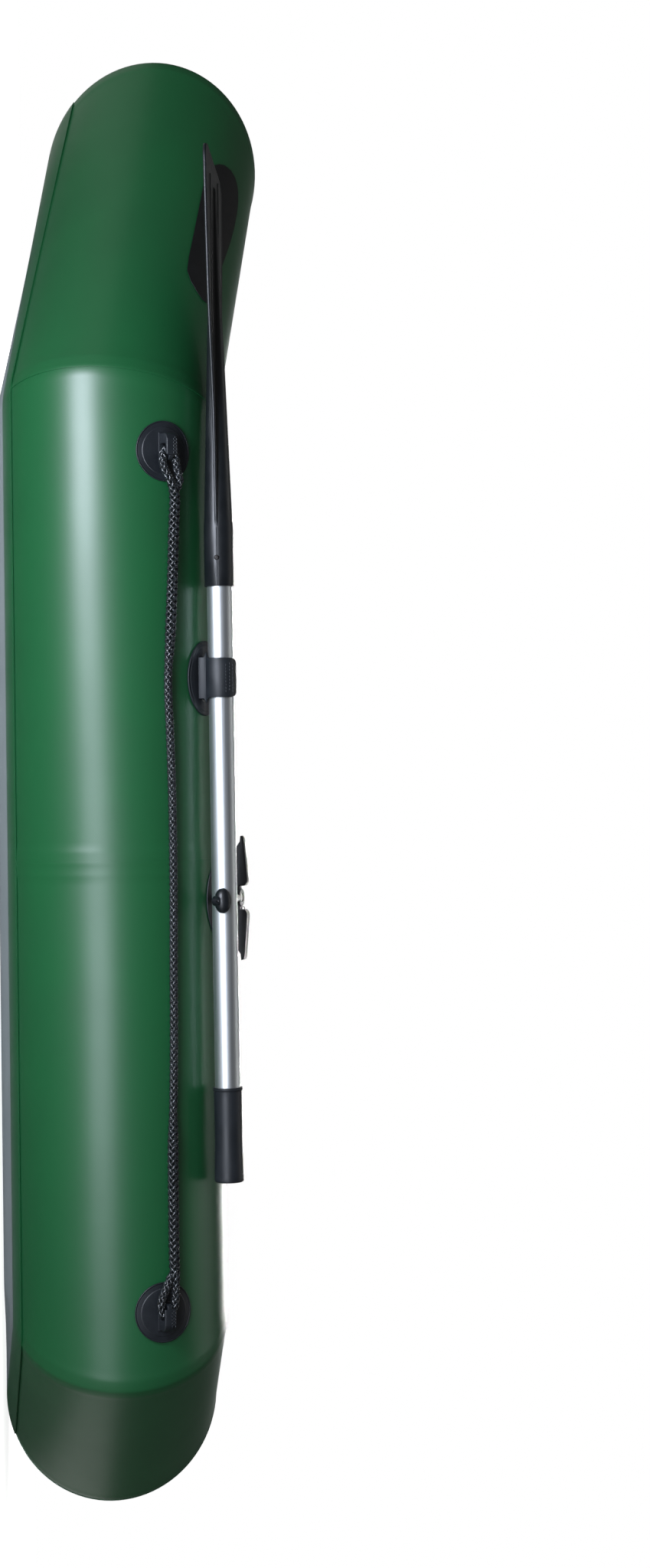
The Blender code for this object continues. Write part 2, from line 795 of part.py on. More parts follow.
def make_clip(collection, cutters):
    """The stowing clip: a pad with a low boss on the tube and a rubber hook round the shaft."""
    top = pad_lift + clip_pad
    profile = [(clip_half_length, pad_lift + clip_pad / 2), (clip_half_length - clip_pad / 2, top),
               (clip_half_length * 2 / 3, top), (clip_half_length / 3, top), (0, top)]
    base = wrapped_pad("clip_base_port", clip_half_length, profile, clip_x, oar_angle, pad_steps, collection,
                       (BLACK, 0.45), clip_half_width / clip_half_length)
    frame = oar_frame()
    middle = frame @ Vector((clip_x - lock_x, 0, 0))
    up = Vector((0, math.sin(lock_tilt), math.cos(lock_tilt)))
    axis = Vector((clip_x, side_offset, side_z))
    reach = (middle - axis).dot(up) - shaft_radius - clip_boss_clear
    section = []
    for angle in (clip_boss_from, clip_boss_to):
        out = Vector((0, math.cos(angle), math.sin(angle)))
        foot = on_tube(clip_x, angle, clip_boss_root)
        head = axis + out * (reach / out.dot(up))
        section += [foot, head] if angle == clip_boss_from else [head, foot]
    outline = [(p.y, p.z) for p in section]
    boss = section_bar("clip_boss", outline, clip_x - clip_boss_half_length, clip_x + clip_boss_half_length,
                       cutters)
    joined(base, [boss], cutters)
    both_sides(smooth(bake(base)), collection)
    inner = shaft_radius + clip_hook_clear
    outer = inner + clip_hook_thickness
    outline = []
    for step in range(clip_hook_steps + 1):
        turn = clip_hook_end + (clip_hook_start - clip_hook_end) * step / clip_hook_steps
        outline.append((middle.y + inner * math.cos(turn), middle.z + inner * math.sin(turn)))
    for angle in (clip_foot_to, clip_foot_from):
        foot = on_tube(clip_x, angle, clip_foot_height)
        outline.append((foot.y, foot.z))
    for step in range(clip_hook_steps + 1):
        turn = clip_hook_outer_start + (clip_hook_end - clip_hook_outer_start) * step / clip_hook_steps
        outline.append((middle.y + outer * math.cos(turn), middle.z + outer * math.sin(turn)))
    hook = section_bar("clip_hook_port", outline, clip_x - clip_hook_half_width,
                       clip_x + clip_hook_half_width, collection, (BLACK, 0.5))
    both_sides(smooth(bake(hook)), collection)


def make_oarlock(collection, cutters):
    """The oarlock: a pad with two cheeks, a rocker in them, and a yoke that turns on the rocker."""
    top = pad_lift + lock_pad_middle
    profile = [(lock_pad_radius, pad_lift + lock_pad_rim), (lock_pad_flat_radius + pad_ring, top - gap),
               (lock_pad_flat_radius, top), (lock_pad_flat_radius * 2 / 3, top),
               (lock_pad_flat_radius / 3, top), (0, top)]
    base = wrapped_pad("oarlock_base_port", lock_pad_radius, profile, lock_x, lock_angle, pad_steps,
                       collection, (BLACK, 0.5))
    crown = tube_frame(lock_x, lock_angle)
    outline = [(-cheek_foot, cheek_foot_height), (cheek_foot, cheek_foot_height)]
    for step in range(9):
        turn = math.pi * step / 8
        outline.append((cheek_radius * math.cos(turn), barrel_height + cheek_radius * math.sin(turn)))
    for index, way in enumerate((-1, 1)):
        place = crown @ Matrix.Translation(
            (way * (barrel_half_length + trunnion_clear + cheek_thickness / 2), 0, 0)) @ lay_along_x()
        cheek = plate("cheek_" + str(index), outline, cheek_thickness, place, cutters)
        joined(base, [cheek], cutters)
    barrel_start = barrel_half_length + trunnion_length
    bar = crown @ Matrix.Translation((-barrel_start - overrun, 0, barrel_height)) @ lay_along_x()
    bore = cylinder("trunnion_bore", trunnion_radius + trunnion_clear, 2 * (barrel_start + overrun), bar,
                    cutters, segments=12)
    joined(base, [bore], cutters, "DIFFERENCE")
    both_sides(smooth(bake(base)), collection)
    frame = swing_frame()
    half = barrel_half_length
    rocker = turned("oarlock_rocker_port", [(0, -barrel_start), (trunnion_radius, -barrel_start),
                                            (trunnion_radius, -half), (barrel_radius, -half),
                                            (barrel_radius, half), (trunnion_radius, half),
                                            (trunnion_radius, barrel_start), (0, barrel_start)],
                    12, crown @ Matrix.Translation((0, 0, barrel_height)) @ lay_along_x(), collection,
                    (STEEL, 0.4, 1.0))
    neck = stud_top - stud_head
    stud = turned("stud", [(0, 0), (stud_radius, 0), (stud_radius, neck), (stud_head_radius, neck),
                           (stud_head_radius, stud_top), (0, stud_top)], 12, frame, cutters)
    joined(rocker, [stud], cutters)
    rocker = smooth(bake(rocker))
    both_sides(set_origin(rocker, frame.translation), collection)
    bore_radius = stud_radius + trunnion_clear
    yoke = turned("oarlock_yoke_port", [(bore_radius, yoke_hub_bottom), (yoke_hub_radius, yoke_hub_bottom),
                                        (yoke_hub_radius, yoke_hub_top), (yoke_sink_radius, yoke_hub_top),
                                        (yoke_sink_radius, yoke_hub_top - yoke_sink),
                                        (bore_radius, yoke_hub_top - yoke_sink)], 14, frame, collection,
                  (BLACK, 0.45))
    pieces = []
    for index, way in enumerate((1, -1)):
        outline = [(way * x * yoke_wing_length, z * yoke_wing_height) for x, z in yoke_wing_shares]
        if way < 0:
            outline.reverse()
        upright = Matrix(((1, 0, 0, 0), (0, 0, -1, 0), (0, 1, 0, 0), (0, 0, 0, 1)))
        wing = plate("wing_" + str(index), outline, yoke_wing_thickness, frame @ upright, cutters)
        bevel(wing, yoke_wing_edge, 1, 60)
        pieces.append(wing)
    oar = oar_frame()
    start = frame @ Vector((0, yoke_arm_start, yoke_arm_height))
    end = oar @ Vector((0, -yoke_arm_stop, 0))
    along = (end - start).normalized()
    side = Vector((1, 0, 0))
    arm = cylinder("yoke_arm", yoke_arm_radius, (end - start).length,
                   axes_matrix(start, side, along.cross(side), along), cutters, 16,
                   end_radius=yoke_arm_end_radius)
    pin_start = -yoke_arm_stop - overrun / 2
    pin = cylinder("yoke_pin", pin_radius, pin_end - pin_start,
                   oar @ Matrix.Translation((0, pin_start, 0)) @ lay_along_y(), cutters, 14)
    joined(yoke, pieces + [arm, pin], cutters)
    yoke = smooth(bake(yoke))
    both_sides(set_origin(yoke, frame.translation), collection)


def make_knob(collection, cutters):
    """The knob on the end of the oar's pin."""
    oar = oar_frame()
    knob = ball("oar_knob_port", (knob_half_length, knob_depth, knob_half_height),
                oar @ Matrix.Translation((0, knob_face, 0)), collection, 16, 8, (BLACK, 0.4))
    tab = cylinder("knob_tab", knob_tab_radius, knob_tab_reach,
                   oar @ Matrix.Translation((0, knob_face + knob_tab_rise, 0))
                   @ Matrix.Rotation(math.pi - knob_tab_tilt, 4, "X"), cutters, 14)
    bevel(tab, knob_tab_radius / 3, 2)
    joined(knob, [tab], cutters)
    size = knob_half_length + overrun
    half = plate("knob_back", [(-size, -size), (size, -size), (size, size), (-size, size)], size,
                 oar @ Matrix.Translation((0, knob_face - size / 2, 0)) @ lay_along_y(), cutters)
    bore = cylinder("knob_bore", pin_radius + trunnion_clear, knob_bore_end, oar @ lay_along_y(), cutters, 14)
    joined(knob, [half, bore], cutters, "DIFFERENCE")
    knob = smooth(bake(knob))
    both_sides(set_origin(knob, oar.translation), collection)


def make_oar(collection, cutters):
    """One oar: an aluminium shaft, a grip pushed over its end and a blade held by a screw."""
    oar = oar_frame()
    lay = oar @ lay_along_x()
    inner = shaft_radius - shaft_wall
    shaft = turned("oar_shaft_port", [(inner, -shaft_butt), (shaft_radius, -shaft_butt),
                                      (shaft_radius, shaft_tip), (inner, shaft_tip)], 20, lay, collection,
                   (ALUMINIUM, 0.3, 1.0))
    reach = shaft_radius + overrun
    pin_hole = cylinder("pin_hole", pin_radius + trunnion_clear, 2 * reach,
                        oar @ Matrix.Translation((0, -reach, 0)) @ lay_along_y(), cutters, 16)
    screw_place_matrix = oar @ Matrix.Translation((screw_place, 0, 0)) @ lay_along_y()
    screw_hole = cylinder("screw_hole", screw_shank_radius + gap, socket_radius + overrun,
                          screw_place_matrix, cutters, 12)
    joined(shaft, [pin_hole, screw_hole], cutters, "DIFFERENCE")
    both_sides(smooth(bake(shaft)), collection)
    bore = shaft_radius + gap
    end = -shaft_butt - grip_end_wall
    waist = (end - grip_start) / 2
    grip = turned("oar_grip_port", [
        (0, -shaft_butt - gap), (bore, -shaft_butt - gap), (bore, -grip_start),
        (grip_collar_radius, -grip_start), (grip_collar_radius, -grip_start - grip_collar),
        (grip_waist_radius + gap, -grip_start - grip_collar - gap), (grip_waist_radius, waist),
        (grip_end_radius, end + grip_collar * 2), (grip_end_radius, end + grip_end_round),
        (grip_end_radius - grip_end_round / 2, end + gap), (grip_end_radius - grip_end_round, end),
        (0, end)],
        18, lay, collection, (BLACK, 0.6))
    both_sides(smooth(bake(grip)), collection)
    length = blade_tip - blade_root
    side = [(blade_root + x * length, y * blade_half_width) for x, y in blade_outline_shares]
    outline = list(side)
    for x_share, y_share in blade_corner_shares:
        back = blade_tip_set_back * (1 - y_share) / 2
        outline.append((blade_tip - back - x_share * blade_corner_round, y_share * blade_half_width))
    for x_share, y_share in reversed(blade_corner_shares):
        back = blade_tip_set_back * (1 + y_share) / 2
        outline.append((blade_tip - back - x_share * blade_corner_round, -y_share * blade_half_width))
    outline += [(x, -y) for x, y in reversed(side[:-1])]
    blade = plate("oar_blade_port", outline, blade_thickness, oar, collection, (BLACK, 0.45))
    socket = turned("socket", [(0, socket_start), (socket_radius, socket_start),
                               (socket_radius, socket_wall_end), (blade_spine_end_radius, blade_spine_end),
                               (0, blade_spine_end)], 20, lay, cutters)
    ribs = []
    for index, way in enumerate((-1, 1)):
        ribs.append(cylinder("blade_rib_" + str(index), blade_rib_radius, blade_rib_end - blade_rib_start,
                             oar @ Matrix.Translation((blade_rib_start, way * blade_rib_offset, 0))
                             @ lay_along_x(), cutters, 8))
    joined(blade, ribs + [socket], cutters)
    socket_bore = cylinder("socket_bore", bore, shaft_tip + gap - socket_start + overrun,
                           oar @ Matrix.Translation((socket_start - overrun, 0, 0)) @ lay_along_x(),
                           cutters, 20)
    head_hole = cylinder("screw_head_hole", screw_head_radius + gap, overrun,
                         oar @ Matrix.Translation((screw_place, socket_radius - screw_head / 2, 0))
                         @ lay_along_y(), cutters, 14)
    joined(blade, [socket_bore, screw_hole, head_hole], cutters, "DIFFERENCE")
    both_sides(smooth(bake(blade)), collection)
    face = socket_radius - screw_head / 2 + gap
    screw = turned("blade_screw_port", [(0, face - screw_shank), (screw_shank_radius, face - screw_shank),
                                        (screw_shank_radius, face), (screw_head_radius, face),
                                        (screw_head_radius, face + screw_head / 2),
                                        (screw_head_radius * 2 / 3, face + screw_head),
                                        (0, face + screw_head)],
                   12, screw_place_matrix, collection, (STEEL, 0.35, 1.0))
    both_sides(smooth(bake(screw)), collection)


def rail_point(across, height):
    """A point of the rail's section: across the tube's surface and out from it."""
    base = on_tube(0, rail_angle, height)
    return (base.y - across * math.sin(rail_angle), base.z + across * math.cos(rail_angle))


def make_rails(collection):
    """Bolt-rope rails for the seats, glued along the inside of the side tubes."""
    half_turn = rail_strip_half / tube_radius
    top = pad_lift + rail_strip
    outline = []
    for step in range(rail_strip_steps + 1):
        turn = rail_angle + half_turn * (1 - 2 * step / rail_strip_steps)
        point = on_tube(0, turn, pad_lift)
        outline.append((point.y, point.z))
    edge = on_tube(0, rail_angle - half_turn, top)
    outline.append((edge.y, edge.z))
    centre = top + rail_neck + rail_bead_radius
    open_turn = math.asin(rail_neck_half / rail_bead_radius)
    outline.append(rail_point(-rail_neck_half, top))
    for step in range(rail_bead_steps + 1):
        turn = -math.pi / 2 - open_turn - (2 * math.pi - 2 * open_turn) * step / rail_bead_steps
        outline.append(rail_point(rail_bead_radius * math.cos(turn),
                                  centre + rail_bead_radius * math.sin(turn)))
    outline.append(rail_point(rail_neck_half, top))
    edge = on_tube(0, rail_angle + half_turn, top)
    outline.append((edge.y, edge.z))
    rail = section_bar("seat_rail_port", outline, rail_rear_x, rail_front_x, collection, (BLACK, 0.55))
    both_sides(smooth(bake(rail)), collection)
    return centre


def make_seat(name, rear, centre, collection, cutters):
    """One bench: a plywood board on two tracks that slide along the rails."""
    inner = rail_bead_radius + track_clear
    outer = inner + track_wall
    outline = []
    for radius, way in ((outer, 1), (inner, -1)):
        open_turn = math.asin(track_slot_half / radius)
        for step in range(track_steps + 1):
            share = step / track_steps if way > 0 else 1 - step / track_steps
            turn = -math.pi / 2 + open_turn + (2 * math.pi - 2 * open_turn) * share
            outline.append(rail_point(radius * math.cos(turn), centre + radius * math.sin(turn)))
    track = section_bar("seat_track_" + name + "_port", outline, rear, rear + seat_width, collection,
                        (ALUMINIUM, 0.45, 1.0))
    middle = rail_point(0, centre)
    top = middle[1] + outer
    low = top - track_flange_thickness
    flange = section_bar("track_flange_" + name, [(middle[0] - track_flange, low), (middle[0], low),
                                                  (middle[0], top), (middle[0] - track_flange, top)],
                         rear, rear + seat_width, cutters)
    turns = [2 * math.pi * step / track_steps for step in range(track_steps)]
    bore_outline = [rail_point(inner * math.cos(turn), centre + inner * math.sin(turn)) for turn in turns]
    bore = section_bar("track_bore_" + name, bore_outline,
                       rear - overrun, rear + seat_width + overrun, cutters)
    joined(track, [flange], cutters)
    joined(track, [bore], cutters, "DIFFERENCE")
    both_sides(smooth(bake(track)), collection)
    half = seat_width / 2
    reach = middle[0] + seat_overhang
    shape = [(half, reach - seat_corner), (half - seat_corner, reach)]
    outline = []
    for x_way, y_way in ((1, 1), (-1, 1), (-1, -1), (1, -1)):
        pair = shape if x_way == y_way else shape[::-1]
        outline += [(x * x_way, y * y_way) for x, y in pair]
    board = plate("seat_board_" + name, outline, seat_thickness,
                  Matrix.Translation((rear + half, 0, top + gap + seat_thickness / 2)), collection,
                  (PLYWOOD, 0.5))
    bevel(board, seat_edge, 1)
    bake(board)


def valve_frame(x):
    """Axes of an air valve on the starboard tube: Z out of the tube, toward the cockpit."""
    place = on_tube(x, valve_angle, 0)
    out = Vector((0, -math.cos(valve_angle), math.sin(valve_angle)))
    return axes_matrix((x, -place.y, place.z), Vector((1, 0, 0)), out.cross(Vector((1, 0, 0))), out)


def make_valves(collection):
    """Screw-in air valves: a body through the fabric, a sprung stem and a cap."""
    for name, x in zip(valve_names, valve_places_x):
        place = valve_frame(x)
        rim = pad_lift + valve_flange
        bore = valve_bore_radius
        body = turned("valve_body_" + name, [
            (bore, -valve_neck_depth), (valve_neck_radius, -valve_neck_depth), (valve_neck_radius, pad_lift),
            (valve_flange_radius, pad_lift), (valve_flange_radius, rim), (valve_collar_radius, rim),
            (valve_collar_radius, valve_collar_top), (bore, valve_collar_top), (bore, valve_web_top),
            (valve_web_hole, valve_web_top), (valve_web_hole, valve_web_bottom), (bore, valve_web_bottom)],
            valve_steps, place, collection, (BLACK, 0.4))
        smooth(bake(body))
        stem = turned("valve_stem_" + name, [
            (0, valve_seal_bottom), (valve_seal_radius, valve_seal_bottom),
            (valve_seal_radius, valve_seal_top),
            (valve_stem_radius, valve_seal_top), (valve_stem_radius, valve_stem_top), (0, valve_stem_top)],
            valve_steps, place, collection, (GREY, 0.5))
        set_origin(smooth(bake(stem)), place.translation)
        cap = turned("valve_cap_" + name, [
            (0, valve_cap_inside), (valve_cap_bore, valve_cap_inside), (valve_cap_bore, valve_cap_bottom),
            (valve_cap_radius, valve_cap_bottom), (valve_cap_radius, valve_cap_top), (0, valve_cap_top)],
            valve_steps, place, collection, (BLACK, 0.4))
        set_origin(smooth(bake(cap)), place.translation)


def build():
    """Build the whole boat."""
    clear_scene()
    collection = add_collection("inflatable_boat")
    cutters = add_collection("cutters")
    make_hull(collection, cutters)
    make_bulkheads(collection)
    make_floor(collection)
    make_rope_holders(collection, cutters)
    make_lifelines(collection)
    make_clip(collection, cutters)
    make_oarlock(collection, cutters)
    make_knob(collection, cutters)
    make_oar(collection, cutters)
    centre = make_rails(collection)
    make_seat("front", seat_front_x, centre, collection, cutters)
    make_seat("rear", seat_rear_x, centre, collection, cutters)
    make_valves(collection)


build()
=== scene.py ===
import json
import math
from functools import partial

import bmesh
import bpy
from mathutils import Matrix, Vector


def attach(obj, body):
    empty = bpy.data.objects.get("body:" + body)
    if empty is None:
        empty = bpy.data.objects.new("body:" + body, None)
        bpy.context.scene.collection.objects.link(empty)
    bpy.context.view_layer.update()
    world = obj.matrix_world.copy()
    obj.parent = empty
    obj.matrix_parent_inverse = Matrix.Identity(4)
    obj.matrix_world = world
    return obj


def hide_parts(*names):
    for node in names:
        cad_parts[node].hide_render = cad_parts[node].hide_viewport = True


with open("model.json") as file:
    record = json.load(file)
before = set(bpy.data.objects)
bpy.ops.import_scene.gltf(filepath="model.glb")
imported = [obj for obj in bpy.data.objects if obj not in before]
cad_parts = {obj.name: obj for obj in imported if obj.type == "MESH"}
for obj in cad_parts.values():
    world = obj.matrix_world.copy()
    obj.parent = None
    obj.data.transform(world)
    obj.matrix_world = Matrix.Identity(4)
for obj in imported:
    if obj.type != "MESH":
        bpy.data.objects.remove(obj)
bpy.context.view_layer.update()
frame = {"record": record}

# ---- Air tubes ---------------------------------------------------------------------------------
# Ten sleeves of coated polyester cloth, cut flat, mitred and glued end to end into one ring 300 mm
# thick. Every joint has a tape under it, which lifts the cloth a little, and one edge that laps the
# other. Air holds them tight, so the cloth rounds each mitre over a few centimetres.
tube_radius = 0.150
end_radius = 0.155
side_offset = 0.385
side_z = 0.1645
chamber_seam_x = -0.1131
cloth = 0.0011
mitre_round = 0.018
threads = 96
hull_axis = [Vector(p) for p in ((-0.9135, 0, 0.1574), (-0.9135, 0.1545, 0.1574), (-0.7556, 0.385, 0.1645),
                                 (0.5204, 0.385, 0.1645), (0.9135, 0.1143, 0.2392), (0.9135, 0, 0.2392))]
tape_half = 0.0195
tape_ramp = 0.0025
lap_reach = 0.0035
lap_lift = 0.0012
valve_places = {"front": 0.330, "rear": -0.470}
valve_turn = math.radians(158)
valve_hole = 0.0173
forward = Vector((1, 0, 0))
panel_names = ["stern_quarter_port", "side_tube_rear_port", "side_tube_front_port", "bow_quarter_port",
               "bow_panel", "bow_quarter_starboard", "side_tube_front_starboard",
               "side_tube_rear_starboard", "stern_quarter_starboard", "stern_panel"]
body_of = {node: body for body, members in frame["record"]["behaviour"]["bodies"].items() for node in members}


def linear(hex_colour):
    """An sRGB colour such as 2A5D34 as linear red, green, blue and full alpha."""
    parts = [int(hex_colour[i:i + 2], 16) / 255 for i in (0, 2, 4)]
    return tuple(c / 12.92 if c <= 0.04045 else ((c + 0.055) / 1.055) ** 2.4 for c in parts) + (1.0,)


def feed(node, *sources):
    """Set a node's inputs to values or outputs: a pair names its input, others fill the inputs in order."""
    for place, source in enumerate(sources):
        place, source = source if isinstance(source, tuple) else (place, source)
        if isinstance(source, bpy.types.Node):
            source = source.outputs[0]
        if isinstance(source, bpy.types.NodeSocket):
            node.id_data.links.new(source, node.inputs[place])
        else:
            node.inputs[place].default_value = source
    return node


def add_node(tree, kind, *sources, **settings):
    """Add a node: settings are its own choices, sources go to its inputs."""
    node = tree.nodes.new(kind)
    for name, value in settings.items():
        setattr(node, name, value)
    return feed(node, *sources)


def new_finish(name, colour, roughness, metallic=0.0):
    """Start a finish: its material, the way to add its nodes, and its Principled shader."""
    material = bpy.data.materials.new(name)
    material.use_nodes = True
    shader = material.node_tree.nodes["Principled BSDF"]
    feed(shader, ("Base Color", linear(colour)), ("Roughness", roughness), ("Metallic", metallic))
    return material, partial(add_node, material.node_tree), shader


def coated_cloth(name, colour, shade, roughness):
    """PVC-coated polyester, calendered: a broad satin highlight, a little blurred and mottled by the cloth.

    Its threads are 1.1 mm apart, and drawn 2.2 mm apart so that a close view shows them.
    """
    thread_pitch = 0.0022
    material, add, shader = new_finish(name, colour, roughness)
    feed(shader, ("Specular IOR Level", 0.30), ("Coat Weight", 0.6), ("Coat Roughness", 0.33))
    cut = add("ShaderNodeUVMap", uv_map="cut")
    split = add("ShaderNodeSeparateXYZ", ("Vector", cut))
    waves = []
    for axis in ("X", "Y"):
        turns = add("ShaderNodeMath", split.outputs[axis], 2 * math.pi / thread_pitch, operation="MULTIPLY")
        waves.append(add("ShaderNodeMath", turns, operation="SINE"))
    weave = add("ShaderNodeMath", waves[0], waves[1], operation="MULTIPLY")
    place = add("ShaderNodeTexCoord")
    mottle = add("ShaderNodeTexNoise", ("Vector", place.outputs["Object"]), ("Scale", 9.0), ("Detail", 4.0))
    grain = add("ShaderNodeTexNoise", ("Vector", place.outputs["Object"]), ("Scale", 420.0), ("Detail", 2.0))
    tone = add("ShaderNodeMix", ("Factor", mottle), (6, linear(colour)), (7, linear(shade)), data_type="RGBA")
    feed(shader, ("Base Color", tone.outputs[2]))
    rough = add("ShaderNodeMapRange", ("Value", mottle), ("From Min", 0.3), ("From Max", 0.7),
                ("To Min", roughness - 0.03), ("To Max", roughness + 0.04))
    feed(shader, ("Roughness", rough))
    height = add("ShaderNodeMath", weave, grain, operation="ADD")
    bump = add("ShaderNodeBump", ("Strength", 0.10), ("Distance", 0.0004), ("Height", height))
    feed(shader, ("Normal", bump))
    return material


def slide(point, direction, plane_point, normal):
    """Move a point along a direction until it meets a plane."""
    return point + direction * ((plane_point - point).dot(normal) / direction.dot(normal))


def on_tube(x, angle, height):
    """A point over the port side tube: its angle up from outboard and its height over the cloth."""
    reach = tube_radius + height
    return Vector((x, side_offset + reach * math.cos(angle), side_z + reach * math.sin(angle)))


def axes_at(place, x, y, z):
    """Axes that stand at a place, as a matrix."""
    axes = Matrix((x, y, z)).transposed().to_4x4()
    axes.translation = place
    return axes


def valve_axes(x):
    """Axes of an air valve on the starboard tube: X forward and Z straight out of the cloth."""
    out = Vector((0, -math.cos(valve_turn), math.sin(valve_turn)))
    place = on_tube(x, valve_turn, 0)
    return axes_at((x, -place.y, place.z), forward, out.cross(forward), out)


def thread_corners(angle, lift):
    """Where one lengthwise thread turns, all round the boat from the port stern corner."""
    ways = [(b - a).normalized() for a, b in zip(hull_axis, hull_axis[1:])]
    seam = on_tube(chamber_seam_x, angle, lift)
    bow_bend = slide(seam, ways[2], hull_axis[3], ways[3] + ways[2])
    bow_corner = slide(bow_bend, ways[3], hull_axis[4], ways[4] + ways[3])
    stern_bend = slide(seam, ways[2], hull_axis[2], ways[2] + ways[1])
    stern_corner = slide(stern_bend, ways[1], hull_axis[1], ways[1] + ways[0])
    fuller = (end_radius + lift) / (tube_radius + lift)
    bow_corner = hull_axis[4] + (bow_corner - hull_axis[4]) * fuller
    stern_corner = hull_axis[1] + (stern_corner - hull_axis[1]) * fuller
    port = [stern_corner, stern_bend, seam, bow_bend, bow_corner]
    return port + [Vector((p.x, -p.y, p.z)) for p in reversed(port)]


def turned_cloth(corner, behind, ahead, place):
    """A point that far past a corner of a thread, on the curve that rounds it."""
    share = 0.5 + 0.5 * place / mitre_round
    a = corner + (behind - corner).normalized() * mitre_round
    b = corner + (ahead - corner).normalized() * mitre_round
    return a * (1 - share) ** 2 + corner * (2 * share * (1 - share)) + b * share ** 2


def thread_point(corners, part, share, inset):
    """A point on a thread: a share of the way along a panel plus a distance, rounded at the mitres."""
    before, start, end, after = (corners[(part + i) % len(corners)] for i in (-1, 0, 1, 2))
    length = (end - start).length
    place = share * length + inset
    if place < mitre_round:
        return turned_cloth(start, before, end, place)
    if place > length - mitre_round:
        return turned_cloth(end, after, start, length - place)
    return start + (end - start) * (place / length)


def loft(name, rings, flat, material, closed=True):
    """A mesh through rings of points; flat gives each point's place on the flat cut, in metres."""
    shape = bmesh.new()
    layer = shape.loops.layers.uv.new("cut")
    grid = [[shape.verts.new(p) for p in ring] for ring in rings]
    count = len(rings[0])
    for row in range(len(rings) - 1):
        for i in range(count if closed else count - 1):
            j = (i + 1) % count
            face = shape.faces.new((grid[row][i], grid[row][j], grid[row + 1][j], grid[row + 1][i]))
            face.smooth = True
            for corner, (r, k) in zip(face.loops, ((row, i), (row, i + 1), (row + 1, i + 1), (row + 1, i))):
                corner[layer].uv = flat(r, k)
    return shape_object(name, shape, material, turn_out=False)


def shape_object(name, shape, material, turn_out=True):
    """Turn a built shape into an object, with its faces all outward."""
    if turn_out:
        bmesh.ops.recalc_face_normals(shape, faces=shape.faces)
    mesh = bpy.data.meshes.new(name)
    shape.to_mesh(mesh)
    shape.free()
    return add_piece(name, mesh, material)


def add_piece(name, mesh, material):
    """Link a mesh as an object with one finish."""
    obj = bpy.data.objects.new(name, mesh)
    bpy.context.scene.collection.objects.link(obj)
    mesh.materials.clear()
    mesh.materials.append(material)
    return obj


def apply_modifiers(obj, sharp=40):
    """Turn the object's modifiers into plain mesh and keep its hard edges."""
    shown = obj.evaluated_get(bpy.context.evaluated_depsgraph_get())
    mesh = bpy.data.meshes.new_from_object(shown)
    obj.modifiers.clear()
    obj.data = mesh
    mesh.shade_smooth()
    mesh.set_sharp_from_angle(angle=math.radians(sharp))
    return obj


def cut_holes(obj, cutters, sharp=40, edge=0.0):
    """Take the cutters out of an object and round its hard edges, as plain mesh."""
    for cutter in cutters:
        hole = obj.modifiers.new("hole", "BOOLEAN")
        hole.operation, hole.solver, hole.object, hole.use_self = "DIFFERENCE", "EXACT", cutter, True
    if edge:
        rounding = obj.modifiers.new("edges", "BEVEL")
        rounding.width, rounding.segments = edge, 3
        rounding.limit_method, rounding.angle_limit = "ANGLE", math.radians(38)
    apply_modifiers(obj, sharp)
    for cutter in cutters:
        bpy.data.objects.remove(cutter)


def give_wall(obj, thickness, offset):
    """Give an open surface its thickness."""
    wall = obj.modifiers.new("wall", "SOLIDIFY")
    wall.thickness = thickness
    wall.offset = offset
    return obj


def carry_on(obj, body):
    """The piece rides on a body."""
    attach(obj, body)
    return obj


def stand_in(obj, node):
    """The piece stands for one CAD node and rides on that node's body."""
    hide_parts(node)
    return carry_on(obj, body_of[node])


green_cloth = coated_cloth("PVC coated polyester, calendered satin green", "14542D", "114A28", 0.42)
angles = [2 * math.pi * (i / threads - 0.25) for i in range(threads)]
loops = [[thread_corners(a, lift) for a in angles] for lift in (0.0, lap_lift)]


def cloth_ring(part, share, inset, lift):
    """One ring of the tube's cloth, lifted by part of the lap's height."""
    ring = []
    for low, high in zip(*loops):
        a = thread_point(low, part, share, inset)
        b = thread_point(high, part, share, inset)
        ring.append(a + (b - a) * (lift / lap_lift))
    return ring


def seam_rows(tape, lip):
    """Distances in from a panel's end with the cloth's lift there, over the lap's lip and the tape."""
    rows = [(-lap_reach, tape + lap_lift * 0.8), (-lap_reach / 2, tape + 0.001)] if lip else []
    rows += [(0, tape + 0.0009 * lip), (0.003, tape + 0.0005 * lip), (0.007, tape), (0.013, tape)]
    return rows + [(tape_half - tape_ramp / 2, tape), (tape_half + tape_ramp / 2, 0.0), (0.030, 0.0)]


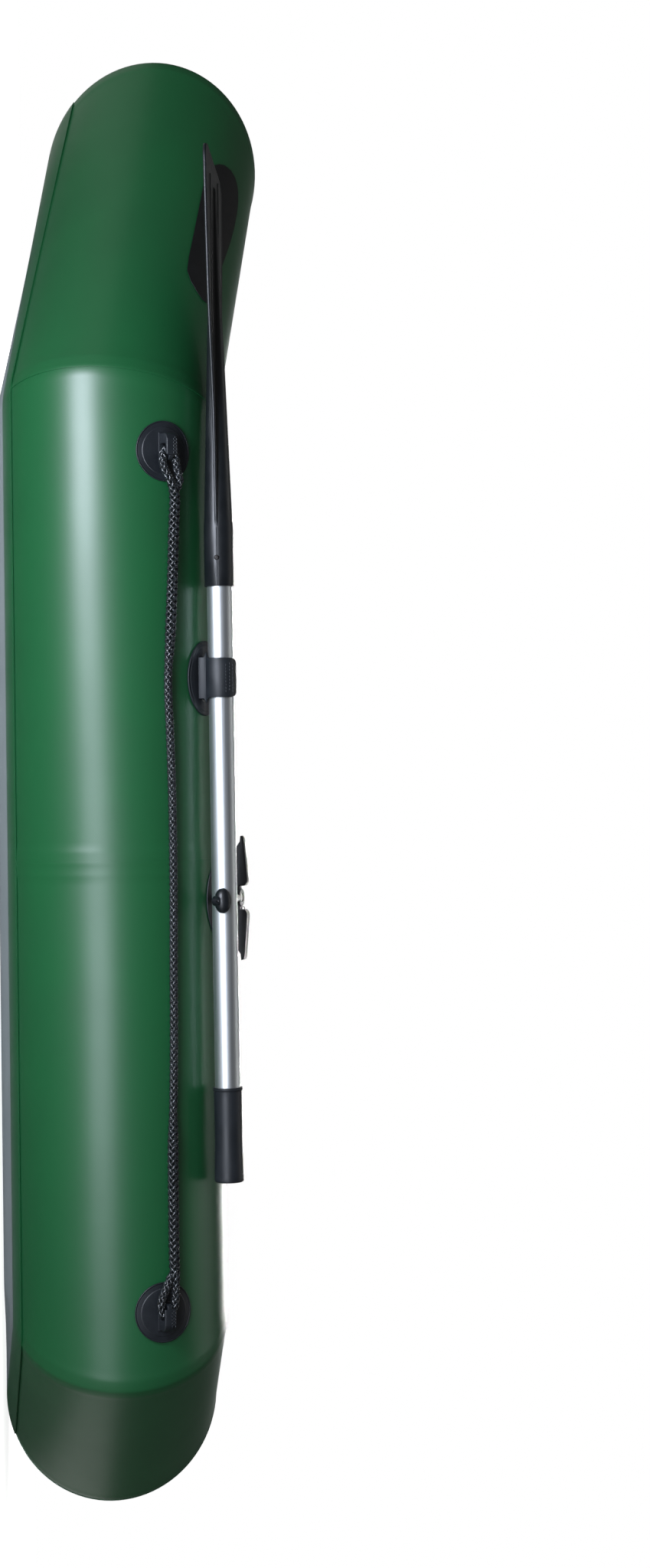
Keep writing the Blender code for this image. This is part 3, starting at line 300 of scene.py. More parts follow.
mean_lengths = []
for part in range(10):
    mean_lengths.append(sum((c[(part + 1) % 10] - c[part]).length for c in loops[0]) / threads)
for part, name in enumerate(panel_names):
    # Every other panel laps both its neighbours, and the tape is thicker where the ends meet the sides
    behind, ahead = (part - 1) % 10, (part + 1) % 10
    tapes = [0.0006 if corner in (2, 7) else 0.0002 for corner in (part, ahead)]
    rows = [(part, 0, inset, lift) if inset >= 0 else (behind, 1, inset, lift)
            for inset, lift in seam_rows(tapes[0], part % 2)]
    rows += [(part, share / 12, 0, 0.0) for share in range(3, 10)]
    rows += [(part, 1, -inset, lift) if inset >= 0 else (ahead, 0, -inset, lift)
             for inset, lift in reversed(seam_rows(tapes[1], part % 2))]
    places = []
    for row_part, share, inset, lift in rows:
        start = {part: 0.0, ahead: mean_lengths[part], behind: -mean_lengths[behind]}[row_part]
        places.append(start + share * mean_lengths[row_part] + inset)
    sleeve = loft("skin_" + name, [cloth_ring(*row) for row in rows],
                  lambda r, k: (k * 2 * math.pi * tube_radius / threads, places[r]), green_cloth)
    give_wall(sleeve, cloth, -1.0)
    # The hole that a valve's neck goes through
    cutters = []
    if name.startswith("side_tube") and name.endswith("starboard"):
        shape = bmesh.new()
        bmesh.ops.create_cone(shape, cap_ends=True, segments=32, radius1=valve_hole, radius2=valve_hole,
                              depth=0.02,
                              matrix=valve_axes(valve_places["front" if "front" in name else "rear"]))
        cutters.append(shape_object("hole", shape, green_cloth))
    cut_holes(sleeve, cutters)
    stand_in(sleeve, name)

# ---- Bulkheads ---------------------------------------------------------------------------------
# A domed wall of the same cloth inside each side tube, glued round its skirt under the chamber seam,
# so that one chamber holds if the other is holed. Nothing of it shows from outside.
bulkhead_steps = 48
bulkhead_radius = tube_radius - cloth - 0.0009
dome = [(1.0, -0.020), (1.0, 0.020), (0.96, 0.037), (0.86, 0.050), (0.70, 0.063), (0.50, 0.073),
        (0.25, 0.078),
        (0.02, 0.080)]
for side, turn in (("port", 1), ("starboard", -1)):
    rings = []
    for radius, height in dome:
        reach = bulkhead_radius * radius
        rings.append([Vector((chamber_seam_x + height, turn * (side_offset + reach * math.cos(angle)),
                              side_z + reach * math.sin(angle)))
                      for angle in (2 * math.pi * i / bulkhead_steps for i in range(bulkhead_steps))])
    wall = loft("skin_bulkhead_" + side, rings, lambda r, k: (k * 0.0196, r * 0.02), green_cloth)
    if turn < 0:
        wall.data.flip_normals()
    give_wall(wall, cloth, -1.0)
    stand_in(apply_modifiers(wall), "bulkhead_" + side)

# ---- Bottom sheet ------------------------------------------------------------------------------
# One sheet of heavier grey coated cloth, laid flat under the tubes and glued up round their
# undersides, so it is drawn tight like a drum skin. Its glued edge shows low on the side.
floor_cloth = 0.0015
floor_lift = 0.0009
glue_degrees = (-67, -67, -67, -67, -56, -49)
leave_degrees = (-89, -89, -84, -84, -87, -87)
floor_inward = [(1.0, 0.0), (1.0, -0.5), (0.5, -1.0), (-0.3, -1.0), (-1.0, -0.5), (-1.0, 0.0)]
floor_run = 0.080
floor_ramp_drop = 0.0157
grey_cloth = coated_cloth("PVC coated polyester, calendered grey", "8D9392", "7F8685", 0.46)


def round_the_boat(port):
    """Six points from stern middle to bow middle, carried round the starboard side."""
    return port + [Vector((p.x, -p.y, p.z)) for p in reversed(port[1:-1])]


def floor_loop(port):
    """Points all round a closed line with rounded corners, the same count for every line."""
    corners = round_the_boat(port)
    line = []
    for part in range(len(corners)):
        stops = [(0, 0), (0, mitre_round / 2), (0, mitre_round)] + [(s / 8, 0) for s in range(2, 7)]
        stops += [(1, -mitre_round), (1, -mitre_round / 2)]
        line += [thread_point(corners, part, share, inset) for share, inset in stops]
    return line


floor_columns = 10
floor_lines = []
for column in range(floor_columns + 1):
    port = []
    for corner, (glue, leave) in enumerate(zip(glue_degrees, leave_degrees)):
        share = column / floor_columns
        thread = thread_corners(math.radians(glue + (leave - glue) * share), floor_lift)
        port.append(thread[(0, 0, 1, 3, 4, 4)[corner]].copy())
    port[0].y = port[5].y = 0
    floor_lines.append(floor_loop(port))
flat_port = []
for corner, (ahead, inboard) in enumerate(floor_inward):
    edge = port[corner]
    height = floor_cloth if corner < 4 else edge.z - floor_ramp_drop
    flat_port.append(Vector((edge.x + floor_run * ahead, edge.y + floor_run * inboard, height)))
flat_port[0].y = flat_port[5].y = 0
flat_line = floor_loop(flat_port)
for share in (0.3, 0.65):
    floor_lines.append([a.lerp(b, share) for a, b in zip(floor_lines[floor_columns], flat_line)])
ramp_start, ramp_end = flat_port[3], flat_port[5]
for shrink in (0.0, 0.12, 0.25, 0.4, 0.55, 0.7, 0.85, 1.0):
    line = []
    for p in flat_line:
        x = min(max(p.x, -0.62), 0.66)
        climb = max(0.0, (x - ramp_start.x) / (ramp_end.x - ramp_start.x))
        middle = Vector((x, 0, floor_cloth + climb * (ramp_end.z - floor_cloth)))
        point = p.lerp(middle, shrink)
        # A few shallow waves where the sheet is drawn between the tubes
        swell = math.sin(point.x * 17 + 1.3) * math.sin(point.y * 23 + 0.4) * math.sin(math.pi * min(shrink,
                                                                                                     0.5))
        point.z += 0.0012 * (1 + swell) * min(1.0, 3 * shrink)
        line.append(point)
    floor_lines.append(line)
floor_piece = loft("skin_floor_sheet", floor_lines, lambda r, k: floor_lines[r][k % len(flat_line)].xy,
                   grey_cloth)
floor_piece.data.materials.append(green_cloth)
for face in floor_piece.data.polygons:
    face.material_index = 1 if face.index < floor_columns * len(flat_line) else 0
sheet = bmesh.new()
sheet.from_mesh(floor_piece.data)
bmesh.ops.remove_doubles(sheet, verts=sheet.verts, dist=0.0002)
bmesh.ops.recalc_face_normals(sheet, faces=sheet.faces)
sheet.normal_update()
if sum(f.normal.z * f.calc_area() for f in sheet.faces) > 0:
    bmesh.ops.reverse_faces(sheet, faces=sheet.faces)
floor_area = sum(f.calc_area() for f in sheet.faces)
sheet.to_mesh(floor_piece.data)
sheet.free()
give_wall(floor_piece, floor_cloth, 1.0)
stand_in(apply_modifiers(floor_piece), "floor_sheet")

# ---- Lifelines ---------------------------------------------------------------------------------
# Black hollow braid of eight polypropylene strands, 11 mm thick. Each end is looped through the
# bridge of its eye and spliced back into itself, so the first 200 mm are 15 mm thick.
rope_radius = 0.0056
splice_radius = 0.0075
rope_step = 0.004
rope_route = [
    (0.4537, 25.02, 0.0128, 0), (0.4477, 24.31, 0.0128, 0), (0.4417, 23.78, 0.0142, 0),
    (0.4357, 23.66, 0.0150, 0), (0.4297, 24.07, 0.0147, 0), (0.4227, 25.24, 0.0141, 0),
    (0.4147, 27.06, 0.0133, 0), (0.4067, 28.89, 0.0123, 0.3), (0.3977, 30.47, 0.0110, 0.8),
    (0.3877, 31.34, 0.0092, 1), (0.3763, 31.50, 0.0080, 1), (0.3342, 30.60, 0.0080, 1),
    (0.2923, 30.00, 0.0080, 1), (0.2503, 29.20, 0.0080, 1), (0.2084, 28.30, 0.0080, 1),
    (0.1800, 27.70, 0.0075, 0.5), (0.1560, 27.20, 0.0061, 0), (0.1247, 26.90, 0.0061, 0),
    (0.0828, 27.40, 0.0061, 0), (0.0409, 27.90, 0.0061, 0), (-0.0220, 28.50, 0.0061, 0),
    (-0.0849, 28.70, 0.0061, 0), (-0.1687, 28.60, 0.0061, 0), (-0.2525, 28.20, 0.0061, 0),
    (-0.3363, 28.00, 0.0061, 0), (-0.4200, 27.40, 0.0061, 0), (-0.4560, 27.00, 0.0061, 0),
    (-0.4790, 26.60, 0.0073, 0.6), (-0.5033, 26.30, 0.0080, 1), (-0.5450, 26.20, 0.0080, 1),
    (-0.5870, 26.20, 0.0080, 1), (-0.6289, 26.20, 0.0080, 1), (-0.6635, 26.15, 0.0090, 1),
    (-0.6735, 26.06, 0.0108, 0.8), (-0.6825, 25.95, 0.0122, 0.4), (-0.6905, 25.85, 0.0132, 0),
    (-0.6985, 25.69, 0.0140, 0), (-0.7055, 25.50, 0.0147, 0), (-0.7125, 25.22, 0.0150, 0),
    (-0.7185, 24.85, 0.0142, 0), (-0.7245, 24.32, 0.0128, 0), (-0.7305, 23.58, 0.0128, 0),
]
leg_routes = {
    "bow": [(0.4537, 29.38, 0.0128, 0), (0.4477, 30.09, 0.0128, 0), (0.4417, 30.62, 0.0142, 0),
            (0.4357, 30.92, 0.0150, 0), (0.4287, 31.30, 0.0147, 0), (0.4207, 32.16, 0.0139, 0),
            (0.4127, 33.38, 0.0131, 0), (0.4062, 33.10, 0.0120, 0), (0.3990, 32.00, 0.0108, 0)],
    "stern": [(-0.7305, 19.32, 0.0128, 0), (-0.7245, 18.61, 0.0128, 0), (-0.7185, 18.08, 0.0142, 0),
              (-0.7125, 17.96, 0.0150, 0), (-0.7065, 18.37, 0.0147, 0), (-0.6995, 19.54, 0.0141, 0),
              (-0.6935, 20.73, 0.0135, 0), (-0.6895, 21.39, 0.0131, 0),
              (-0.6820, 22.90, 0.0120, 0), (-0.6745, 24.60, 0.0110, 0)],
}

# Polypropylene multifilament: near black; short paler flecks painted into its colour stand for the glints
# where its fibres catch the light
rope_finish, add, shader = new_finish("polypropylene braid, black multifilament", "0B0D10", 0.30)
feed(shader, ("Specular IOR Level", 0.8))
place = add("ShaderNodeTexCoord")
fibres = add("ShaderNodeTexNoise", ("Vector", place.outputs["Object"]), ("Scale", 520.0), ("Detail", 3.0))
# Painted glints: the noise lifts the colour to a paler grey in short flecks
painted_glints = add("ShaderNodeValToRGB", ("Fac", fibres))
painted_glints.color_ramp.elements[0].position = 0.45
painted_glints.color_ramp.elements[0].color = linear("07090B")
painted_glints.color_ramp.elements[1].position = 0.72
painted_glints.color_ramp.elements[1].color = linear("2B3238")
feed(shader, ("Base Color", painted_glints))
bump = add("ShaderNodeBump", ("Strength", 0.25), ("Distance", 0.0003), ("Height", fibres))
feed(shader, ("Normal", bump))


def rope_line(route, turn):
    """The rope's middle line and thickness, smooth through the route's points, mirrored for turn -1."""
    points = []
    for x, degrees, height, share in route:
        p = on_tube(x, math.radians(degrees), height)
        points.append(Vector((p.x, p.y * turn, p.z, rope_radius + (splice_radius - rope_radius) * share)))
    line = [points[0]]
    ends = [points[0] * 2 - points[1]] + points + [points[-1] * 2 - points[-2]]
    for a, b, c, d in zip(ends, ends[1:], ends[2:], ends[3:]):
        pieces = max(1, round((c - b).length / rope_step))
        for piece in range(1, pieces + 1):
            t = piece / pieces
            line.append(0.5 * (2 * b + (c - a) * t + (2 * a - 5 * b + 4 * c - d) * t * t
                               + (3 * b - a - 3 * c + d) * t * t * t))
    return line


def braid_tree():
    """Strands that wind both ways round a line, each over one and under one, as a braider lays them."""
    tree = bpy.data.node_groups.new("braid", "GeometryNodeTree")
    tree.interface.new_socket("Line", in_out="INPUT", socket_type="NodeSocketGeometry")
    sockets = {}
    for name, value in (("Lay length", 0.034), ("Strand radius", 0.0019), ("Strand step", 0.0019),
                        ("Weave height", 0.0008)):
        socket = tree.interface.new_socket(name, in_out="INPUT", socket_type="NodeSocketFloat")
        socket.default_value = value
        sockets[name] = socket.identifier
    tree.interface.new_socket("Braid", in_out="OUTPUT", socket_type="NodeSocketGeometry")
    add = partial(add_node, tree)
    source = add("NodeGroupInput")
    thick = add("GeometryNodeInputNamedAttribute", ("Name", "thick"), data_type="FLOAT")
    curve = add("GeometryNodeMeshToCurve", ("Mesh", source.outputs["Line"]))
    fine = add("GeometryNodeResampleCurve", ("Curve", curve), ("Length", source.outputs["Strand step"]),
               mode="LENGTH")
    copies = add("GeometryNodeDuplicateElements", ("Geometry", fine), ("Amount", 8), domain="SPLINE")
    along = add("GeometryNodeSplineParameter")
    index = copies.outputs["Duplicate Index"]
    odd = add("ShaderNodeMath", index, 2.0, operation="MODULO")
    way = add("ShaderNodeMath", odd, -2.0, 1.0, operation="MULTIPLY_ADD")
    pair = add("ShaderNodeMath", index, odd, operation="SUBTRACT")
    first = add("ShaderNodeMath", pair, math.pi / 4, operation="MULTIPLY")
    turns = add("ShaderNodeMath", along.outputs["Length"], source.outputs["Lay length"], operation="DIVIDE")
    wound = add("ShaderNodeMath", turns, 2 * math.pi, operation="MULTIPLY")
    angle = add("ShaderNodeMath", wound, way, first, operation="MULTIPLY_ADD")
    phase = add("ShaderNodeMath", wound, 4.0, operation="MULTIPLY")
    wave = add("ShaderNodeMath", phase, operation="COSINE")
    over = add("ShaderNodeMath", wave, way, operation="MULTIPLY")
    inner = add("ShaderNodeMath", thick, source.outputs["Strand radius"], operation="SUBTRACT")
    reach = add("ShaderNodeMath", over, source.outputs["Weave height"], inner, operation="MULTIPLY_ADD")
    normal = add("GeometryNodeInputNormal")
    tangent = add("GeometryNodeInputTangent")
    side = add("ShaderNodeVectorMath", tangent, normal, operation="CROSS_PRODUCT")
    cosine = add("ShaderNodeMath", angle, operation="COSINE")
    sine = add("ShaderNodeMath", angle, operation="SINE")
    up = add("ShaderNodeVectorMath", (0, normal), ("Scale", cosine), operation="SCALE")
    out = add("ShaderNodeVectorMath", (0, side), ("Scale", sine), operation="SCALE")
    both = add("ShaderNodeVectorMath", up, out, operation="ADD")
    offset = add("ShaderNodeVectorMath", (0, both), ("Scale", reach), operation="SCALE")
    laid = add("GeometryNodeSetPosition", ("Geometry", copies.outputs["Geometry"]), ("Offset", offset))
    even = add("GeometryNodeSetCurveRadius", ("Curve", laid), ("Radius", 1.0))
    section = add("GeometryNodeCurvePrimitiveCircle", ("Resolution", 7),
                  ("Radius", source.outputs["Strand radius"]), mode="RADIUS")
    strand = add("GeometryNodeCurveToMesh", ("Curve", even), ("Profile Curve", section), ("Fill Caps", True))
    whole = add("GeometryNodeRealizeInstances", ("Geometry", strand))
    finish = add("GeometryNodeSetMaterial", ("Geometry", whole), ("Material", rope_finish))
    add("NodeGroupOutput", ("Braid", finish))
    return tree, sockets


braid, braid_sockets = braid_tree()


def make_rope(name, node, line):
    """One braided length along a line of points with thickness."""
    mesh = bpy.data.meshes.new(name)
    mesh.from_pydata([p.xyz for p in line], [(i, i + 1) for i in range(len(line) - 1)], [])
    thick = mesh.attributes.new("thick", "FLOAT", "POINT")
    thick.data.foreach_set("value", [p.w for p in line])
    obj = add_piece(name, mesh, rope_finish)
    lay = obj.modifiers.new("braid", "NODES")
    lay.node_group = braid
    lay[braid_sockets["Lay length"]] = 0.036
    return stand_in(apply_modifiers(obj, 60), node)


for side, turn in (("port", 1), ("starboard", -1)):
    line = rope_line(rope_route, turn)
    legs = [make_rope("braid_leg_" + end + "_" + side, "lifeline_leg_" + end + "_" + side,
                      rope_line(route, turn))
            for end, route in leg_routes.items()]
    whole = make_rope("braid_" + side, "lifeline_" + side, line)
    length = sum((b.xyz - a.xyz).length for a, b in zip(line, line[1:]))

# ---- Lifeline eyes -----------------------------------------------------------------------------
# Soft black PVC mouldings glued to the side tubes: a disc with a thin rolled rim, and on it a boss
# with a bridge that the lifeline passes under. Each is one piece from a mould, so its edges are round.
eye_places = {"bow": (0.4507, math.radians(27.2), 1), "stern": (-0.7275, math.radians(21.5), -1)}
eye_radius = 0.0415
eye_top = 0.0033
eye_step_radius = 0.0325
pad_under = 0.0005
round_steps = 72


def uneven_skin(add, shader, grain_size, depth, roughness, shades):
    """What a mould or a die leaves: a fine grain, and a shine and tone that drift from place to place."""
    place = add("ShaderNodeTexCoord")
    fine = add("ShaderNodeTexNoise", ("Vector", place.outputs["Object"]), ("Scale", 1 / grain_size),
               ("Detail", 3.0))
    bump = add("ShaderNodeBump", ("Strength", 0.4), ("Distance", depth), ("Height", fine))
    feed(shader, ("Normal", bump))
    broad = add("ShaderNodeTexNoise", ("Vector", place.outputs["Object"]), ("Scale", 35.0), ("Detail", 5.0),
                ("Roughness", 0.6))
    worn = add("ShaderNodeMapRange", ("Value", broad), ("From Min", 0.3), ("From Max", 0.7),
               ("To Min", roughness - 0.05), ("To Max", roughness + 0.08))
    feed(shader, ("Roughness", worn))
    tone = add("ShaderNodeMix", ("Factor", broad), (6, linear(shades[0])), (7, linear(shades[1])),
               data_type="RGBA")
    feed(shader, ("Base Color", tone.outputs[2]))
    return tone


# Soft PVC from a sparked mould: a fine matt grain of about 1.2 mm, with paler rubbed patches
rubber, add, shader = new_finish("soft PVC, injection moulded matt black", "14171B", 0.46)
uneven_skin(add, shader, 0.0012, 0.0001, 0.44, ("101317", "1C2126"))


def around_tube(x, angle):
    """Bends a flat moulding on to the side tube: its Y runs round the tube and its Z out of it."""
    return lambda p: on_tube(x + p.x, angle + p.y / tube_radius, p.z)


def on_pad(x, angle):
    """Axes that stand on the tube: X forward and Z straight out of the cloth, for an upright outline."""
    out = Vector((0, math.cos(angle), math.sin(angle)))
    return axes_at(on_tube(x, angle, 0), forward, out, forward.cross(out))


def carry(place, x, y, z):
    """A point carried to where it belongs by a matrix or by a function."""
    return place @ Vector((x, y, z)) if isinstance(place, Matrix) else place(Vector((x, y, z)))


def add_turned(shape, profile, place, steps=round_steps):
    """Spin a line of (radius, height) round Z."""
    rings = []
    for radius, height in profile:
        turns = [2 * math.pi * i / steps for i in range(steps if radius else 1)]
        rings.append([shape.verts.new(carry(place, radius * math.cos(turn), radius * math.sin(turn), height))
                      for turn in turns])
    if profile[0][0] and profile[-1][0]:
        rings.append(rings[0])
    for low, high in zip(rings, rings[1:]):
        for i in range(steps):
            j = (i + 1) % steps
            corners = [low[i % len(low)], low[j % len(low)], high[j % len(high)], high[i % len(high)]]
            shape.faces.new(list(dict.fromkeys(corners)))


def add_plate(shape, outline, thickness, place):
    """A flat outline of (x, y) with half its thickness on either side."""
    ends = [[shape.verts.new(carry(place, x, y, z)) for x, y in outline]
            for z in (-thickness / 2, thickness / 2)]
    shape.faces.new(ends[0][::-1])
    shape.faces.new(ends[1])
    for i in range(len(outline)):
        j = (i + 1) % len(outline)
        shape.faces.new((ends[0][i], ends[0][j], ends[1][j], ends[1][i]))


def fit_piece(node, shape, material, slot, edge=0.0, cuts=(), sharp=35):
    """Finish a piece: cut its holes, round its edges, and let it stand for its node."""
    obj = shape_object("shape_" + node, shape, material)
    cut_holes(obj, [shape_object("cut", cut, material) for cut in cuts], sharp, edge)
    return stand_in(obj, node)


def mirror_piece(port, name):
    """The starboard copy of a port piece's mesh, as a new object."""
    mesh = port.data.copy()
    mesh.transform(Matrix.Diagonal((1, -1, 1, 1)))
    mesh.flip_normals()
    return add_piece(name, mesh, port.data.materials[0])


def fit_pair(node, shape, material, slot, **choices):
    """A piece on the port side and its mirror image to starboard."""
    port = fit_piece(node + "port", shape, material, slot, **choices)
    stand_in(mirror_piece(port, "shape_" + node + "starboard"), node + "starboard")
    return port


def rolled_rim(radius, top, bead, step):
    """A pad's profile from the rim inward: a round bead, a shallow channel, a step to the flat middle."""
    sweep = [(radius - bead + bead * math.sin(a), top - bead + bead * math.cos(a))
             for a in (math.radians(d) for d in range(90, -91, -30))]
    return [(radius, pad_under)] + sweep + [(radius - 2 * bead - 0.0008, top - 0.0007),
                                            (step + 0.0008, top - 0.0007),
                                            (step, top)]


def ease_edges(shape, start, amount):
    """Round the sharp edges of the faces added since a count of faces."""
    shape.faces.ensure_lookup_table()
    shape.normal_update()
    edges = dict.fromkeys(e for f in shape.faces[start:] for e in f.edges)
    sharp_edges = [e for e in edges if len(e.link_faces) == 2 and e.calc_face_angle(0) > math.radians(38)]
    bmesh.ops.bevel(shape, geom=sharp_edges, offset=amount, offset_type="OFFSET", segments=3, profile=0.5,
                    affect="EDGES", clamp_overlap=True)


for end, (x, angle, way) in eye_places.items():
    shape = bmesh.new()
    profile = [(r * eye_radius / 3, pad_under) for r in range(3)] + rolled_rim(eye_radius, eye_top, 0.0009,
                                                                               eye_step_radius)
    add_turned(shape, profile + [(eye_step_radius / 2, eye_top), (0, eye_top)], around_tube(x, angle))
    # The boss that carries the bridge, and the slim post at its other foot
    arch = [(0.0235, 0.0019), (0.0235, 0.0163), (0.0222, 0.0190), (0.0200, 0.0212), (0.0158, 0.0236),
            (0.0130, 0.0240), (-0.0070, 0.0240), (-0.0070, 0.0194), (0.0060, 0.0194), (0.0084, 0.0180),
            (0.0090, 0.0160), (0.0090, 0.0019)]
    post = [(-0.0055, 0.0019), (-0.0055, 0.0225), (-0.0095, 0.0212), (-0.0125, 0.0186), (-0.0135, 0.0163),
            (-0.0135, 0.0019)]
    for outline, width in ((arch, 0.0170), (post, 0.0060)):
        start = len(shape.faces)
        add_plate(shape, [(px * way, pz) for px, pz in outline], width, on_pad(x, angle))
        ease_edges(shape, start, 0.0016)
    # A low skirt where the boss grows out of the disc
    add_plate(shape,
              [(-0.016 * way, 0.0025), (0.026 * way, 0.0025), (0.0245 * way, 0.0044),
               (-0.0145 * way, 0.0044)],
              0.0200, on_pad(x, angle))
    fit_pair("rope_holder_" + end + "_", shape, rubber, "black_rubber", edge=0.0010)

# ---- Oar clips ---------------------------------------------------------------------------------
# A soft PVC pad with a low boss, glued to the tube, and a springy hook from the same mould that goes
# round the stowed shaft. Three rows of short ribs near its free edge give the thumb a hold.
clip_x = 0.1408
clip_half_length = 0.0520
clip_half_width = 0.0377
clip_top = 0.0035
hook_inner = 0.0181
hook_outer = 0.0217
hook_half = 0.0272
oar_angle = math.radians(55.1)
oar_height = 0.0295
pin_x = -0.167


def oar_axes():
    """The stowed port oar at its pin: X along the shaft to the blade, Y along the pin, Z up."""
    slope, roll = math.radians(0.31), math.radians(12.5)
    along = Vector((math.cos(slope), 0, -math.sin(slope)))
    out = Vector((0, math.cos(roll), -math.sin(roll)))
    up = along.cross(out).normalized()
    return axes_at(on_tube(pin_x, oar_angle, oar_height), along, up.cross(along), up)


def ridge_tree(material):
    """Rows of small raised ridges on a round face: each row turned further, every other one shifted."""
    tree = bpy.data.node_groups.new("ridges", "GeometryNodeTree")
    tree.interface.new_socket("Start", in_out="INPUT", socket_type="NodeSocketGeometry")
    sockets = {}
    for name, kind, value in (("Rows", "NodeSocketInt", 3), ("Ridges", "NodeSocketInt", 9),
                              ("Pitch", "NodeSocketFloat", 0.0045),
                              ("First turn", "NodeSocketFloat", 0.26), ("Row turn", "NodeSocketFloat", 0.26),
                              ("Reach", "NodeSocketFloat", 0.0217),
                              ("Ridge size", "NodeSocketVector", (1, 1, 1))):
        socket = tree.interface.new_socket(name, in_out="INPUT", socket_type=kind)
        socket.default_value = value
        sockets[name] = socket.identifier
    tree.interface.new_socket("Ridges", in_out="OUTPUT", socket_type="NodeSocketGeometry")
    add = partial(add_node, tree)
    source = add("NodeGroupInput")
    count = add("ShaderNodeMath", source.outputs["Rows"], source.outputs["Ridges"], operation="MULTIPLY")
    index = add("GeometryNodeInputIndex")
    share = add("ShaderNodeMath", index, source.outputs["Ridges"], operation="DIVIDE")
    row = add("ShaderNodeMath", share, operation="FLOOR")
    column = add("ShaderNodeMath", index, source.outputs["Ridges"], operation="MODULO")
    odd = add("ShaderNodeMath", row, 2.0, operation="MODULO")
    shifted = add("ShaderNodeMath", odd, 0.5, column, operation="MULTIPLY_ADD")
    half = add("ShaderNodeMath", source.outputs["Ridges"], -0.5, 0.25, operation="MULTIPLY_ADD")
    centred = add("ShaderNodeMath", shifted, half, operation="ADD")
    along = add("ShaderNodeMath", centred, source.outputs["Pitch"], operation="MULTIPLY")
    turn = add("ShaderNodeMath", row, source.outputs["Row turn"], source.outputs["First turn"],
               operation="MULTIPLY_ADD")
    cosine = add("ShaderNodeMath", turn, operation="COSINE")
    sine = add("ShaderNodeMath", turn, operation="SINE")
    out = add("ShaderNodeMath", cosine, source.outputs["Reach"], operation="MULTIPLY")
    up = add("ShaderNodeMath", sine, source.outputs["Reach"], operation="MULTIPLY")
    spot = add("ShaderNodeCombineXYZ", ("X", along), ("Y", out), ("Z", up))
    points = add("GeometryNodePoints", ("Count", count), ("Position", spot))
    kept = add("GeometryNodeStoreNamedAttribute", ("Geometry", points), ("Name", "turn"), ("Value", turn),
               data_type="FLOAT", domain="POINT")
    stored = add("GeometryNodeInputNamedAttribute", ("Name", "turn"), data_type="FLOAT")
    lean = add("ShaderNodeMath", stored, -math.pi / 2, operation="ADD")
    facing = add("ShaderNodeCombineXYZ", ("X", lean))
    bead = add("GeometryNodeMeshIcoSphere", ("Radius", 0.5), ("Subdivisions", 3))
    placed = add("GeometryNodeInstanceOnPoints", ("Points", kept), ("Instance", bead.outputs["Mesh"]),
                 ("Rotation", facing), ("Scale", source.outputs["Ridge size"]))
    whole = add("GeometryNodeRealizeInstances", ("Geometry", placed))
    finish = add("GeometryNodeSetMaterial", ("Geometry", whole), ("Material", material))
    add("NodeGroupOutput", ("Ridges", finish))
    return tree, sockets


def add_ridges(name, material, axes, body, slot, **sizes):
    """Ridges round a piece's X axis, placed by its axes; they ride on its body."""
    group, sockets = ridge_tree(material)
    obj = add_piece(name, bpy.data.meshes.new(name), material)
    rows = obj.modifiers.new("ridges", "NODES")
    rows.node_group = group
    for key, value in sizes.items():
        rows[sockets[key.replace("_", " ").capitalize()]] = value
    apply_modifiers(obj, 60)
    # The bead brings an empty slot of its own
    obj.data.materials.pop(index=0)
    obj.data.transform(axes)
    return carry_on(obj, body)


def add_band(shape, rings):
    """A closed bar through outlines of equal count, with flat ends."""
    grid = [[shape.verts.new(p) for p in ring] for ring in rings]
    for low, high in zip(grid, grid[1:]):
        for i in range(len(low)):
            j = (i + 1) % len(low)
            shape.faces.new((low[i], low[j], high[j], high[i]))
    shape.faces.new(grid[0])
    shape.faces.new(grid[-1])


shape = bmesh.new()
pad = around_tube(clip_x, oar_angle)
oval = lambda p: pad(Vector((p.x, p.y * clip_half_width / clip_half_length, p.z)))
profile = [(r * clip_half_length / 4, pad_under) for r in range(4)] + rolled_rim(clip_half_length, clip_top,
                                                                                 0.0009, 0.0455)
add_turned(shape, profile + [(0.030, clip_top), (0.015, clip_top), (0, clip_top)], oval)
clip_middle = oar_axes() @ Vector((clip_x - pin_x, 0, 0))
lean = Vector((0, math.sin(math.radians(20)), math.cos(math.radians(20))))
tube_middle = Vector((clip_x, side_offset, side_z))
boss_reach = (clip_middle - tube_middle).dot(lean) - 0.0175 - 0.0008
section = []
for angle in (math.radians(53.0), math.radians(60.8)):
    out = Vector((0, math.cos(angle), math.sin(angle)))
    pair = [on_tube(clip_x, angle, 0.0015), tube_middle + out * (boss_reach / out.dot(lean))]
    section += pair if not section else pair[::-1]
add_band(shape, [[Vector((x, p.y, p.z)) for p in section] for x in (clip_x - 0.030, clip_x + 0.030)])
fit_pair("clip_base_", shape, rubber, "black_rubber", edge=0.0012)

